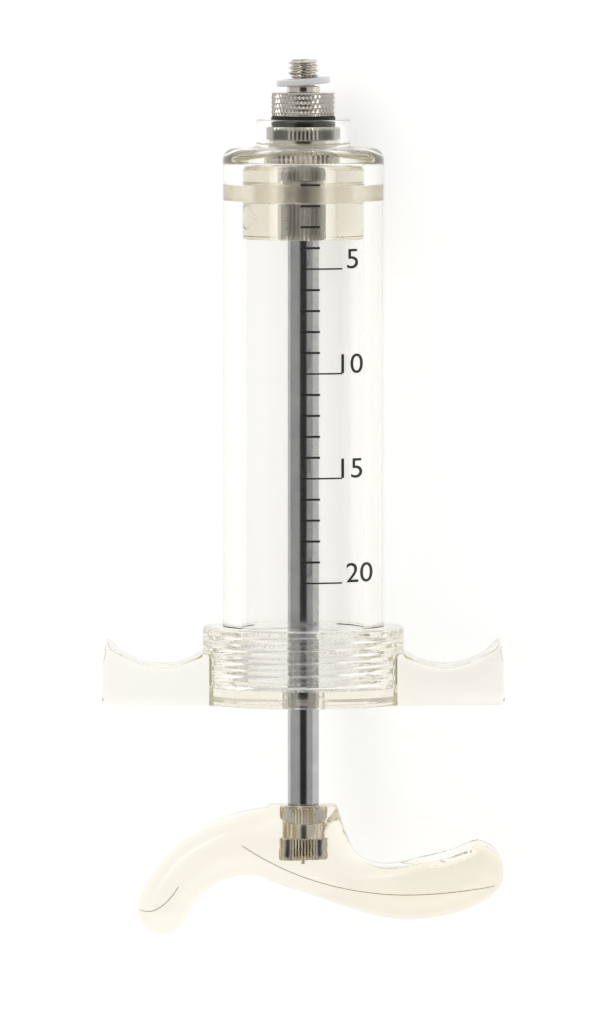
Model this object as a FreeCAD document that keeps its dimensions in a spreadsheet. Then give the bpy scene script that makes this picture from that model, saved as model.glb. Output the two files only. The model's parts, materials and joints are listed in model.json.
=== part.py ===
# Refillable 20 ml piston syringe with a threaded nozzle head, a screwed finger ring and an S-shaped handle.
# Every piece is drawn about the syringe's own axis: Z points at the tip, X to the right of the printed
# scale's reader, and -Y at the reader. Level 0 is the bore's closed end, the scale's zero. At the end all
# pieces are laid down together as the syringe comes to rest on a table.
import FreeCAD, Part
import math
import os
import Sketcher

doc = FreeCAD.newDocument("PistonSyringe")
sheet = doc.addObject("Spreadsheet::Sheet", "Sizes")

# Driving dimensions in millimetres and degrees, and counts of teeth.
SIZES = {
    "barrel_outer_diameter": 25.6,
    "barrel_bore_diameter": 19.6,
    "barrel_depth": 83.5,
    "barrel_end_wall": 2.2,
    "shoulder_round": 2.0,
    "barrel_mouth_chamfer": 0.3,
    "boss_diameter": 15.0,
    "boss_height": 4.5,
    "boss_foot_chamfer": 0.7,
    "boss_edge_chamfer": 0.3,
    "nozzle_insert_diameter": 11.8,
    "nozzle_insert_height": 5.6,
    "nozzle_insert_outer_band": 2.0,
    "nozzle_insert_inner_band": 1.9,
    "nozzle_insert_waist_depth": 0.45,
    "nozzle_insert_knurl_depth": 0.35,
    "nozzle_insert_teeth": 24,
    "gasket_diameter": 10.2,
    "gasket_thickness": 1.55,
    "gasket_side_gap": 0.1,
    "screw_gap": 0.05,
    "spigot_diameter": 4.9,
    "spigot_length": 5.95,
    "fluid_bore_diameter": 2.0,
    "knurled_collar_diameter": 10.2,
    "knurled_collar_height": 3.85,
    "knurled_collar_chamfer": 0.3,
    "neck_diameter": 5.3,
    "neck_height": 0.95,
    "stud_diameter": 4.95,
    "stud_length": 4.25,
    "stud_chamfer": 0.42,
    "thread_relief_diameter": 3.7,
    "thread_relief_width": 1.7,
    "washer_diameter": 8.5,
    "washer_thickness": 1.0,
    "washer_hole_gap": 0.15,
    "washer_tilt": 4.5,
    "piston_diameter": 19.2,
    "piston_length": 11.9,
    "piston_front_gap": 0.3,
    "piston_front_chamfer": 1.0,
    "piston_rear_chamfer": 0.4,
    "seal_setback": 3.2,
    "seal_width": 2.85,
    "seal_groove_depth": 1.6,
    "seal_bore_gap": 0.05,
    "seal_groove_gap": 0.03,
    "seal_edge_chamfer": 0.4,
    "hub_diameter": 7.2,
    "hub_front_wall": 0.7,
    "hub_front_band": 1.8,
    "hub_rear_band": 5.6,
    "hub_waist_depth": 0.35,
    "hub_knurl_depth": 0.3,
    "hub_teeth": 18,
    "rod_diameter": 5.0,
    "rod_thread_diameter": 4.0,
    "rod_front_thread": 7.0,
    "rod_rear_thread": 5.5,
    "rod_thread_chamfer": 0.4,
    "ring_diameter": 32.0,
    "ring_height": 12.35,
    "ring_floor": 2.6,
    "ring_thread_gap": 0.15,
    "ring_rod_gap": 0.08,
    "ring_top_chamfer": 0.5,
    "ring_mouth_chamfer": 0.5,
    "wing_reach": 32.0,
    "wing_tip_reach": 31.5,
    "wing_depth": 13.8,
    "wing_height": 11.0,
    "saddle_radius": 10.8,
    "saddle_root_height": 8.2,
    "wing_nose_round": 0.9,
    "wing_edge_round": 0.8,
    "handle_gap": 16.15,
    "handle_height": 20.8,
    "handle_left_reach": 26.2,
    "handle_right_reach": 30.8,
    "handle_boss_wall": 1.5,
    "handle_left_depth": 13.0,
    "handle_right_depth": 16.0,
    "handle_flare_start": 5.0,
    "handle_flare_end": 17.0,
    "handle_thickness": 8.5,
    "handle_end_length": 4.3,
    "handle_edge_round": 3.2,
    "scoop_radius_along": 16.7,
    "scoop_radius_across": 7.0,
    "scoop_place": 19.0,
    "scoop_drop": 10.3,
    "scoop_sweep": 80.0,
    "handle_insert_diameter": 7.6,
    "handle_insert_flange_diameter": 6.5,
    "handle_insert_flange_height": 0.7,
    "handle_insert_outer_band": 2.2,
    "handle_insert_waist_height": 2.5,
    "handle_insert_inner_band": 3.2,
    "handle_insert_waist_depth": 0.4,
    "handle_insert_knurl_depth": 0.3,
    "handle_insert_teeth": 18,
    "pip_diameter": 0.5,
    "pip_length": 0.6,
}

for row, (alias, value) in enumerate(SIZES.items(), start=1):
    sheet.set(f"A{row}", alias)
    sheet.set(f"B{row}", str(value))
    sheet.setAlias(f"B{row}", alias)
doc.recompute()

# Stations along the middle of the handle's S, from the palm hook on the left to the thumb rest on the right.
# Each holds a share of the reach on its side (negative to the left), a share of the handle's height below its
# top face, a share of the handle's thickness, and its upper edges' rounding as a share of the lower ones'.
HANDLE_STATIONS = [
    (-0.855, 0.790, 0.93, 1.0),
    (-0.788, 0.638, 0.95, 1.0),
    (-0.651, 0.450, 0.99, 1.0),
    (-0.443, 0.322, 1.04, 1.0),
    (-0.214, 0.290, 1.20, 1.0),
    (-0.057, 0.375, 1.16, 1.0),
    (0.176, 0.545, 0.92, 0.9),
    (0.378, 0.648, 0.85, 0.4),
    (0.574, 0.655, 0.98, 0.3),
    (0.762, 0.588, 1.06, 0.3),
    (0.892, 0.505, 1.02, 0.4),
]

# How far towards its tip each section of a rounded end stands, as a share of the end's length.
END_SHARES = (0.45, 0.8, 0.97)

# Sections of the handle's boss from its top face down: a share of the handle's height, and the places of its
# left and right sides as shares of the boss's radius.
BOSS_SECTIONS = [
    (0.0, -1.0, 1.0),
    (0.2, -1.6, 1.26),
    (0.42, -2.0, 1.62),
    (0.56, -0.9, 2.1),
]

# A corner of a rounded section takes at most this share of its width or height.
LARGEST_CORNER_SHARE = 0.45

# How near two lengths in millimetres must be to count as the same, and the least volume that a cut takes.
SAME = 1e-4
LEAST_CUT = 1e-6


def size(name):
    """The value that the sheet holds under a name."""
    return float(sheet.get(name))


# Levels along the axis and radii that several pieces share, as expressions on the sheet.
BORE_RADIUS = "Sizes.barrel_bore_diameter / 2"
BARREL_RADIUS = "Sizes.barrel_outer_diameter / 2"
BOSS_TOP = "(Sizes.barrel_end_wall + Sizes.boss_height)"
INSERT_TOP = "Sizes.nozzle_insert_height"
COUNTERBORE_RADIUS = "(Sizes.gasket_diameter / 2 + Sizes.gasket_side_gap)"
GASKET_TOP = f"({INSERT_TOP} + Sizes.gasket_thickness)"
COLLAR_TOP = f"({GASKET_TOP} + Sizes.knurled_collar_height)"
NECK_TOP = f"({COLLAR_TOP} + Sizes.neck_height)"
RELIEF_TOP = f"({NECK_TOP} + Sizes.thread_relief_width)"
STUD_TOP = f"({NECK_TOP} + Sizes.stud_length)"
SCREW_HOLE_RADIUS = "(Sizes.spigot_diameter / 2 + Sizes.screw_gap)"
PISTON_FRONT = "(-Sizes.piston_front_gap)"
PISTON_REAR = f"({PISTON_FRONT} - Sizes.piston_length)"
SEAL_FRONT = f"({PISTON_FRONT} - Sizes.seal_setback)"
SEAL_REAR = f"({SEAL_FRONT} - Sizes.seal_width)"
SEAL_GROOVE_RADIUS = "(Sizes.piston_diameter / 2 - Sizes.seal_groove_depth)"
HUB_FRONT = f"({PISTON_FRONT} - Sizes.hub_front_wall)"
THREAD_RADIUS = "Sizes.rod_thread_diameter / 2"
BARREL_MOUTH = "(-Sizes.barrel_depth)"
RING_BOTTOM = f"({BARREL_MOUTH} - Sizes.ring_floor)"
RING_TOP = f"({RING_BOTTOM} + Sizes.ring_height)"
HANDLE_TOP = f"({RING_BOTTOM} - Sizes.handle_gap)"
HANDLE_KNURL_RADIUS = "Sizes.handle_insert_diameter / 2"
HANDLE_BOSS_RADIUS = f"({HANDLE_KNURL_RADIUS} + Sizes.handle_boss_wall)"
FLANGE_END = f"({HANDLE_TOP} - Sizes.handle_insert_flange_height)"
HANDLE_INSERT_WAIST = f"({FLANGE_END} - Sizes.handle_insert_outer_band)"
HANDLE_INSERT_BAND = f"({HANDLE_INSERT_WAIST} - Sizes.handle_insert_waist_height)"
HANDLE_INSERT_END = f"({HANDLE_INSERT_BAND} - Sizes.handle_insert_inner_band)"
HANDLE_HOLE_END = f"({HANDLE_TOP} - Sizes.rod_rear_thread)"


def reckon(expression):
    """The number that an expression on the sheet comes to."""
    return float(sheet.evalExpression(expression.replace("Sizes.", "")))


def new_body(label):
    """Starts a piece of its own."""
    body = doc.addObject("PartDesign::Body", label)
    body.Label = label
    return body


def new_sketch(body, name, role, lift=None):
    """Puts a sketch on one of the body's own origin planes, raised by an expression if one is given."""
    sketch = body.newObject("Sketcher::SketchObject", f"{body.Label}_{name}")
    plane = next(f for f in body.Origin.OriginFeatures if f.Role == role)
    sketch.AttachmentSupport = [(plane, "")]
    sketch.MapMode = "FlatFace"
    if lift:
        sketch.setExpression("AttachmentOffset.Base.z", lift)
    return sketch


def draw(sketch, corners, arcs=()):
    """Draws a closed outline whose corners are bound to the sheet.

    corners holds (x, y) expressions. arcs holds (side, radius) pairs: the side that starts at that corner is
    a hollow arc of that radius, bulging to the left of the way from its first corner to its second.
    """
    places = [FreeCAD.Vector(reckon(x), reckon(y), 0) for x, y in corners]
    radii = dict(arcs)
    first = sketch.GeometryCount
    count = len(places)
    for side, start in enumerate(places):
        end = places[(side + 1) % count]
        if side in radii:
            radius = reckon(radii[side])
            half = (end - start) * 0.5
            rise = math.sqrt(radius**2 - half.Length**2)
            across = FreeCAD.Vector(half.y, -half.x, 0).normalize()
            centre = start + half + across * rise
            swing = math.atan2(start.y - centre.y, start.x - centre.x)
            stop = math.atan2(end.y - centre.y, end.x - centre.x)
            circle = Part.Circle(centre, FreeCAD.Vector(0, 0, 1), radius)
            sketch.addGeometry(Part.ArcOfCircle(circle, stop, swing), False)
        else:
            sketch.addGeometry(Part.LineSegment(start, end), False)
    for side, (x, y) in enumerate(corners):
        here = first + side
        after = first + (side + 1) % count
        end_point = 1 if side in radii else 2
        start_point = 2 if side in radii else 1
        next_point = 2 if (side + 1) % count in radii else 1
        sketch.addConstraint(Sketcher.Constraint("Coincident", here, end_point, after, next_point))
        for kind, expression, value in (("DistanceX", x, places[side].x), ("DistanceY", y, places[side].y)):
            index = sketch.addConstraint(Sketcher.Constraint(kind, here, start_point, value))
            sketch.setExpression(f"Constraints[{index}]", expression)
        if side in radii:
            index = sketch.addConstraint(Sketcher.Constraint("Radius", here, reckon(radii[side])))
            sketch.setExpression(f"Constraints[{index}]", radii[side])


def finish(body, feature, cuts=False):
    """Recomputes after a feature and stops if a cut took nothing away."""
    before = body.Shape.Volume if cuts else 0
    body.Tip = feature
    doc.recompute()
    if "Invalid" in feature.State or "Error" in feature.State:
        raise RuntimeError(f"{feature.Label} failed: {feature.getStatusString()}")
    if cuts and not body.Shape.Volume < before - LEAST_CUT:
        raise RuntimeError(f"{feature.Label} cuts nothing")
    return feature


def turn(body, name, corners, cuts=False):
    """Turns a profile of (radius, level) expressions once round the axis, as a solid or as a groove."""
    sketch = new_sketch(body, f"{name}_profile", "XZ_Plane")
    draw(sketch, corners)
    doc.recompute()
    kind = "PartDesign::Groove" if cuts else "PartDesign::Revolution"
    feature = body.newObject(kind, f"{body.Label}_{name}")
    feature.Profile = sketch
    feature.ReferenceAxis = (sketch, ["V_Axis"])
    feature.Angle = 360
    return finish(body, feature, cuts)


def knurl(body, radius, depth, teeth, low, high):
    """Cuts straight V grooves along a turned piece, all round it."""
    sketch = new_sketch(body, "knurl_profile", "XY_Plane", low)
    reach = f"{radius} + {depth}"
    draw(sketch, [(f"{radius} - {depth}", "0"), (reach, f"-2 * {depth}"), (reach, f"2 * {depth}")])
    doc.recompute()
    pocket = body.newObject("PartDesign::Pocket", f"{body.Label}_knurl_groove")
    pocket.Profile = sketch
    pocket.Reversed = True
    pocket.setExpression("Length", f"{high} - {low}")
    finish(body, pocket, cuts=True)
    pattern = body.newObject("PartDesign::PolarPattern", f"{body.Label}_knurl")
    pattern.Originals = [pocket]
    pattern.Axis = (sketch, ["N_Axis"])
    pattern.Angle = 360
    pattern.setExpression("Occurrences", teeth)
    return finish(body, pattern, cuts=True)


def edges(body, wanted):
    """Names of the edges of the body so far that a test picks out."""
    return [f"Edge{n}" for n, edge in enumerate(body.Shape.Edges, start=1) if wanted(edge)]


def is_rim(radius, level):
    """A test for a full circle of a given radius about the axis at a given level."""
    r, z = reckon(radius), reckon(level)

    def test(edge):
        if not isinstance(edge.Curve, Part.Circle):
            return False
        centre = edge.Curve.Center
        on_axis = math.hypot(centre.x, centre.y) < SAME
        return on_axis and abs(edge.Curve.Radius - r) < SAME and abs(centre.z - z) < SAME

    return test


def dress(body, kind, name, wanted, amount):
    """Rounds or bevels the edges that a test picks out."""
    names = edges(body, wanted)
    if not names:
        raise RuntimeError(f"{body.Label} has no edge for {name}")
    base = body.Tip
    feature = body.newObject(f"PartDesign::{kind}", f"{body.Label}_{name}")
    feature.Base = (base, names)
    feature.setExpression("Radius" if kind == "Fillet" else "Size", amount)
    return finish(body, feature)


def make_barrel():
    """Clear moulded tube with a closed shoulder, a boss and a counterbore for the gasket."""
    body = new_body("barrel")
    insert_radius = "Sizes.nozzle_insert_diameter / 2"
    boss_radius = "Sizes.boss_diameter / 2"
    turn(
        body,
        "wall",
        [
            (COUNTERBORE_RADIUS, INSERT_TOP),
            (insert_radius, INSERT_TOP),
            (insert_radius, "0"),
            (BORE_RADIUS, "0"),
            (BORE_RADIUS, BARREL_MOUTH),
            (BARREL_RADIUS, BARREL_MOUTH),
            (BARREL_RADIUS, "Sizes.barrel_end_wall"),
            (boss_radius, "Sizes.barrel_end_wall"),
            (boss_radius, BOSS_TOP),
            (COUNTERBORE_RADIUS, BOSS_TOP),
        ],
    )
    shoulder = "Sizes.barrel_end_wall"
    dress(body, "Fillet", "shoulder", is_rim(BARREL_RADIUS, shoulder), "Sizes.shoulder_round")
    dress(body, "Chamfer", "boss_foot", is_rim(boss_radius, shoulder), "Sizes.boss_foot_chamfer")
    dress(body, "Chamfer", "boss_edge", is_rim(boss_radius, BOSS_TOP), "Sizes.boss_edge_chamfer")
    dress(body, "Chamfer", "mouth_inside", is_rim(BORE_RADIUS, BARREL_MOUTH), "Sizes.barrel_mouth_chamfer")
    return body


def make_nozzle_insert():
    """Plated brass bush in the boss, with two knurled bands, a plain waist and a screw hole through it."""
    body = new_body("nozzle_insert")
    radius = "Sizes.nozzle_insert_diameter / 2"
    waist = f"({radius} - Sizes.nozzle_insert_waist_depth)"
    waist_top = f"{INSERT_TOP} - Sizes.nozzle_insert_outer_band"
    turn(
        body,
        "blank",
        [
            (SCREW_HOLE_RADIUS, "0"),
            (radius, "0"),
            (radius, "Sizes.nozzle_insert_inner_band"),
            (waist, "Sizes.nozzle_insert_inner_band"),
            (waist, waist_top),
            (radius, waist_top),
            (radius, INSERT_TOP),
            (SCREW_HOLE_RADIUS, INSERT_TOP),
        ],
    )
    knurl(body, radius, "Sizes.nozzle_insert_knurl_depth", "Sizes.nozzle_insert_teeth", "0", INSERT_TOP)
    return body


def make_nozzle_gasket():
    """Black ring between the insert and the nozzle head's collar."""
    body = new_body("nozzle_gasket")
    radius = "Sizes.gasket_diameter / 2"
    turn(
        body,
        "ring",
        [
            (SCREW_HOLE_RADIUS, INSERT_TOP),
            (radius, INSERT_TOP),
            (radius, GASKET_TOP),
            (SCREW_HOLE_RADIUS, GASKET_TOP),
        ],
    )
    return body


def make_nozzle_head():
    """Turned head: screw spigot, gripping collar, neck and threaded stud, with the fluid bore through it."""
    body = new_body("nozzle_head")
    bore = "Sizes.fluid_bore_diameter / 2"
    spigot = "Sizes.spigot_diameter / 2"
    spigot_end = f"{GASKET_TOP} - Sizes.spigot_length"
    collar = "Sizes.knurled_collar_diameter / 2"
    neck = "Sizes.neck_diameter / 2"
    relief = "Sizes.thread_relief_diameter / 2"
    stud = "Sizes.stud_diameter / 2"
    turn(
        body,
        "blank",
        [
            (bore, spigot_end),
            (spigot, spigot_end),
            (spigot, GASKET_TOP),
            (collar, GASKET_TOP),
            (collar, COLLAR_TOP),
            (neck, COLLAR_TOP),
            (neck, NECK_TOP),
            (relief, NECK_TOP),
            (relief, RELIEF_TOP),
            (stud, RELIEF_TOP),
            (stud, STUD_TOP),
            (bore, STUD_TOP),
        ],
    )
    dress(body, "Chamfer", "collar_top", is_rim(collar, COLLAR_TOP), "Sizes.knurled_collar_chamfer")
    dress(body, "Chamfer", "collar_foot", is_rim(collar, GASKET_TOP), "Sizes.knurled_collar_chamfer")
    dress(body, "Chamfer", "stud_end", is_rim(stud, STUD_TOP), "Sizes.stud_chamfer")
    return body


def make_nozzle_washer():
    """Loose white ring round the stud, drawn about its own middle because it sits a little tilted."""
    body = new_body("nozzle_washer")
    hole = "(Sizes.stud_diameter / 2 + Sizes.washer_hole_gap)"
    outside = "Sizes.washer_diameter / 2"
    half = "Sizes.washer_thickness / 2"
    turn(body, "ring", [(hole, f"-{half}"), (outside, f"-{half}"), (outside, half), (hole, half)])
    return body


def hub_profile(radius, waist, front, waist_front, waist_rear, rear):
    """Outside of a hub with two knurled bands and a waist between them, from front to rear."""
    return [
        (radius, front),
        (radius, waist_front),
        (waist, waist_front),
        (waist, waist_rear),
        (radius, waist_rear),
        (radius, rear),
    ]


def piston_hub_profile():
    """The piston insert's outside, which is also the hollow that it leaves in the piston."""
    radius = "Sizes.hub_diameter / 2"
    waist = f"({radius} - Sizes.hub_waist_depth)"
    waist_front = f"{HUB_FRONT} - Sizes.hub_front_band"
    waist_rear = f"{PISTON_REAR} + Sizes.hub_rear_band"
    return hub_profile(radius, waist, HUB_FRONT, waist_front, waist_rear, PISTON_REAR)


def make_piston():
    """Amber moulding with a bevelled front, a square groove for the seal and its hub moulded in."""
    body = new_body("piston")
    radius = "Sizes.piston_diameter / 2"
    turn(
        body,
        "blank",
        [
            ("0", PISTON_FRONT),
            (radius, PISTON_FRONT),
            (radius, SEAL_FRONT),
            (SEAL_GROOVE_RADIUS, SEAL_FRONT),
            (SEAL_GROOVE_RADIUS, SEAL_REAR),
            (radius, SEAL_REAR),
            (radius, PISTON_REAR),
            ("0", PISTON_REAR),
        ],
    )
    dress(body, "Chamfer", "front_edge", is_rim(radius, PISTON_FRONT), "Sizes.piston_front_chamfer")
    dress(body, "Chamfer", "rear_edge", is_rim(radius, PISTON_REAR), "Sizes.piston_rear_chamfer")
    hollow = [("0", HUB_FRONT)] + piston_hub_profile() + [("0", PISTON_REAR)]
    turn(body, "hub_seat", hollow, cuts=True)
    return body


def make_piston_seal():
    """Rubber ring in the piston's groove that wipes the bore."""
    body = new_body("piston_seal")
    inside = f"({SEAL_GROOVE_RADIUS} + Sizes.seal_groove_gap)"
    outside = f"({BORE_RADIUS} - Sizes.seal_bore_gap)"
    corners = [(inside, SEAL_REAR), (outside, SEAL_REAR), (outside, SEAL_FRONT), (inside, SEAL_FRONT)]
    turn(body, "ring", corners)
    dress(body, "Chamfer", "front_edge", is_rim(outside, SEAL_FRONT), "Sizes.seal_edge_chamfer")
    dress(body, "Chamfer", "rear_edge", is_rim(outside, SEAL_REAR), "Sizes.seal_edge_chamfer")
    return body


def make_piston_insert():
    """Metal hub in the piston, knurled at both ends, with the screw hole that takes the rod."""
    body = new_body("piston_insert")
    hole_end = f"({PISTON_REAR} + Sizes.rod_front_thread)"
    turn(
        body,
        "blank",
        [("0", HUB_FRONT)]
        + piston_hub_profile()
        + [(THREAD_RADIUS, PISTON_REAR), (THREAD_RADIUS, hole_end), ("0", hole_end)],
    )
    radius = "Sizes.hub_diameter / 2"
    knurl(body, radius, "Sizes.hub_knurl_depth", "Sizes.hub_teeth", PISTON_REAR, HUB_FRONT)
    return body


def make_plunger_rod():
    """Stainless rod from the piston's hub to the handle's insert, with a thinner threaded end in each."""
    body = new_body("plunger_rod")
    radius = "Sizes.rod_diameter / 2"
    front = f"({PISTON_REAR} + Sizes.rod_front_thread)"
    turn(
        body,
        "blank",
        [
            ("0", front),
            (THREAD_RADIUS, front),
            (THREAD_RADIUS, PISTON_REAR),
            (radius, PISTON_REAR),
            (radius, HANDLE_TOP),
            (THREAD_RADIUS, HANDLE_TOP),
            (THREAD_RADIUS, HANDLE_HOLE_END),
            ("0", HANDLE_HOLE_END),
        ],
    )
    dress(body, "Chamfer", "front_end", is_rim(THREAD_RADIUS, front), "Sizes.rod_thread_chamfer")
    dress(body, "Chamfer", "rear_end", is_rim(THREAD_RADIUS, HANDLE_HOLE_END), "Sizes.rod_thread_chamfer")
    return body


def middle_of(edge):
    """The point halfway along an edge."""
    return edge.valueAt((edge.FirstParameter + edge.LastParameter) / 2)


def is_wing_nose(edge):
    """True for the edges across a wing's tip and across its root, from its front face to its back face."""
    middle = middle_of(edge)
    return middle.z > reckon(RING_BOTTOM) + size("wing_height") / 2 and abs(middle.y) < SAME


def is_wing_edge(edge):
    """True for the edges round the wings' front and back faces, apart from the flat bottom's."""
    middle = middle_of(edge)
    on_face = abs(abs(middle.y) - size("wing_depth") / 2) < SAME
    return on_face and middle.z - reckon(RING_BOTTOM) > SAME


def make_finger_wings():
    """The bar with a finger saddle at each end that becomes one piece with the ring."""
    body = new_body("finger_wings")
    outline = new_sketch(body, "outline", "XZ_Plane")
    radius = "Sizes.ring_diameter / 2"
    tip = f"{RING_BOTTOM} + Sizes.wing_height"
    root = f"{RING_BOTTOM} + Sizes.saddle_root_height"
    draw(
        outline,
        [
            ("-Sizes.wing_reach", RING_BOTTOM),
            ("Sizes.wing_reach", RING_BOTTOM),
            ("Sizes.wing_tip_reach", tip),
            (radius, root),
            (f"-{radius}", root),
            ("-Sizes.wing_tip_reach", tip),
        ],
        arcs=[(2, "Sizes.saddle_radius"), (4, "Sizes.saddle_radius")],
    )
    doc.recompute()
    bar = body.newObject("PartDesign::Pad", "finger_wings_bar")
    bar.Profile = outline
    bar.Midplane = True
    bar.setExpression("Length", "Sizes.wing_depth")
    finish(body, bar)
    dress(body, "Fillet", "noses", is_wing_nose, "Sizes.wing_nose_round")
    dress(body, "Fillet", "edges", is_wing_edge, "Sizes.wing_edge_round")
    return body


def make_finger_ring():
    """Screwed ring with a floor that guides the rod, and a wing with a finger saddle on each side."""
    wings = make_finger_wings()
    body = new_body("finger_ring")
    radius = "Sizes.ring_diameter / 2"
    bore = f"({BARREL_RADIUS} + Sizes.ring_thread_gap)"
    rod_hole = "(Sizes.rod_diameter / 2 + Sizes.ring_rod_gap)"
    turn(body, "disc", [("0", RING_BOTTOM), (radius, RING_BOTTOM), (radius, RING_TOP), ("0", RING_TOP)])
    dress(body, "Chamfer", "top_edge", is_rim(radius, RING_TOP), "Sizes.ring_top_chamfer")
    join = body.newObject("PartDesign::Boolean", "finger_ring_join")
    join.Type = "Fuse"
    join.addObject(wings)
    finish(body, join)

    hollow = [
        ("0", RING_BOTTOM),
        (rod_hole, RING_BOTTOM),
        (rod_hole, BARREL_MOUTH),
        (bore, BARREL_MOUTH),
        (bore, f"{RING_TOP} - Sizes.ring_mouth_chamfer"),
        (f"{bore} + Sizes.ring_mouth_chamfer", RING_TOP),
        ("0", RING_TOP),
    ]
    turn(body, "thread_bore", hollow, cuts=True)
    return body


def handle_insert_profile():
    """The handle insert's outside with its flange, which is also the hollow that it leaves in the handle."""
    flange = "Sizes.handle_insert_flange_diameter / 2"
    waist = f"({HANDLE_KNURL_RADIUS} - Sizes.handle_insert_waist_depth)"
    ends = (FLANGE_END, HANDLE_INSERT_WAIST, HANDLE_INSERT_BAND, HANDLE_INSERT_END)
    bands = hub_profile(HANDLE_KNURL_RADIUS, waist, *ends)
    pip = "Sizes.pip_diameter / 2"
    pip_end = f"{HANDLE_INSERT_END} - Sizes.pip_length"
    tail = [(pip, HANDLE_INSERT_END), (pip, pip_end), ("0", pip_end)]
    return [(flange, HANDLE_TOP), (flange, FLANGE_END)] + bands + tail


def make_handle_insert():
    """Plated bush in the handle, closed below, where the pip left by parting it off still stands."""
    body = new_body("handle_insert")
    hole = [("0", HANDLE_HOLE_END), (THREAD_RADIUS, HANDLE_HOLE_END), (THREAD_RADIUS, HANDLE_TOP)]
    turn(body, "blank", handle_insert_profile() + hole)
    depth = "Sizes.handle_insert_knurl_depth"
    knurl(body, HANDLE_KNURL_RADIUS, depth, "Sizes.handle_insert_teeth", HANDLE_INSERT_END, HANDLE_TOP)
    return body


def rounded_section(middle, over, wide, high, upper, lower):
    """A closed wire round a point: a round-cornered rectangle, wide along Y and high along a direction."""
    side = FreeCAD.Vector(0, 1, 0)
    bends = []
    for across, up in [(1, 1), (-1, 1), (-1, -1), (1, -1)]:
        largest = LARGEST_CORNER_SHARE * min(wide, high)
        corner = min(upper if up > 0 else lower, largest)
        centre = middle + side * (across * (wide / 2 - corner)) + over * (up * (high / 2 - corner))
        out_y, out_up = side * (across * corner), over * (up * corner)
        first, last = (out_y, out_up) if across * up > 0 else (out_up, out_y)
        middle_of_bend = (first + last).normalize() * corner
        bends.append((centre + first, centre + middle_of_bend, centre + last))
    sides = []
    for here, after in zip(bends, bends[1:] + bends[:1]):
        sides.append(Part.Arc(*here).toShape())
        sides.append(Part.LineSegment(here[2], after[0]).toShape())
    return Part.Wire(sides)


def handle_depth(x):
    """The handle's depth from front to back at a place along it: slim at the hook, broad at the rest."""
    start, end = size("handle_flare_start"), size("handle_flare_end")
    share = min(max((x - start) / (end - start), 0), 1)
    share = share * share * (3 - 2 * share)
    return size("handle_left_depth") + share * (size("handle_right_depth") - size("handle_left_depth"))


def with_halfway_rows(rows):
    """The rows of a table with one more halfway in each gap, on a smooth curve through the four nearest."""
    last = len(rows) - 1
    finer = [rows[0]]
    for n in range(last):
        before, here = rows[max(n - 1, 0)], rows[n]
        after, beyond = rows[n + 1], rows[min(n + 2, last)]
        finer.append([(9 * (b + c) - a - d) / 16 for a, b, c, d in zip(before, here, after, beyond)])
        finer.append(after)
    return finer


def handle_arm():
    """The S-shaped arm: rounded sections across the S, from one rounded end to the other."""
    right, left = size("handle_right_reach"), size("handle_left_reach")
    top, height, thick = reckon(HANDLE_TOP), size("handle_height"), size("handle_thickness")
    corner = size("handle_edge_round")
    stations = with_halfway_rows(HANDLE_STATIONS)
    middles = []
    for x, drop, _, _ in stations:
        middles.append(FreeCAD.Vector(x * (right if x > 0 else left), 0, top - drop * height))
    last = len(middles) - 1
    sections = []
    for n, middle in enumerate(middles):
        high = stations[n][2] * thick
        upper = stations[n][3] * corner
        along = (middles[min(n + 1, last)] - middles[max(n - 1, 0)]).normalize()
        over = FreeCAD.Vector(-along.z, 0, along.x)
        ends = {0: -1, last: 1}
        rounding = []
        if n in ends:
            length = size("handle_end_length") * ends[n]
            for share in END_SHARES:
                shrink = math.sqrt(1 - share**2)
                wide = handle_depth(middle.x) - 2 * corner * (1 - shrink)
                at = middle + along * (length * share)
                bends = (upper * shrink, corner * shrink)
                rounding.append(rounded_section(at, over, wide, high * shrink, *bends))
        own = rounded_section(middle, over, handle_depth(middle.x), high, upper, corner)
        sections += rounding[::-1] + [own] if n == 0 else [own] + rounding
    return Part.makeLoft(sections, True, True)


def handle_boss():
    """The boss round the insert: level sections that spread from its flat top into the arm."""
    top, height, radius = reckon(HANDLE_TOP), size("handle_height"), reckon(HANDLE_BOSS_RADIUS)
    corner = size("handle_edge_round")
    across = FreeCAD.Vector(1, 0, 0)
    sections = []
    for drop, left, right in BOSS_SECTIONS:
        middle = FreeCAD.Vector((left + right) * radius / 2, 0, top - drop * height)
        long = (right - left) * radius
        sections.append(rounded_section(middle, across, handle_depth(0), long, corner, corner))
    return Part.makeLoft(sections, True, True)


def thumb_scoop():
    """The dished hollow of the thumb rest: the lowest part of a thick ring that stands along the arm."""
    along, across, sweep = size("scoop_radius_along"), size("scoop_radius_across"), size("scoop_sweep")
    lowest = reckon(HANDLE_TOP) - size("scoop_drop")
    centre = FreeCAD.Vector(size("scoop_place"), 0, lowest + along)
    section = FreeCAD.Vector(size("scoop_place"), 0, lowest + across)
    disc = Part.Face(Part.Wire(Part.makeCircle(across, section, FreeCAD.Vector(1, 0, 0))))
    disc.rotate(centre, FreeCAD.Vector(0, 1, 0), -sweep / 2)
    return disc.revolve(centre, FreeCAD.Vector(0, 1, 0), sweep)


def make_handle():
    """S-shaped grip moulded round its bush: a thumb rest on the right, a hook for the palm on the left."""
    seat = [("0", HANDLE_TOP)] + handle_insert_profile()
    corners = [FreeCAD.Vector(reckon(x), 0, reckon(z)) for x, z in seat]
    cavity = Part.Face(Part.makePolygon(corners + corners[:1]))
    cavity = cavity.revolve(FreeCAD.Vector(0, 0, 0), FreeCAD.Vector(0, 0, 1), 360)
    grip = handle_arm().fuse(handle_boss()).cut(thumb_scoop()).cut(cavity)
    handle = doc.addObject("Part::Feature", "handle")
    handle.Label = "handle"
    handle.Shape = grip.Solids[0]
    return handle


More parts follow.
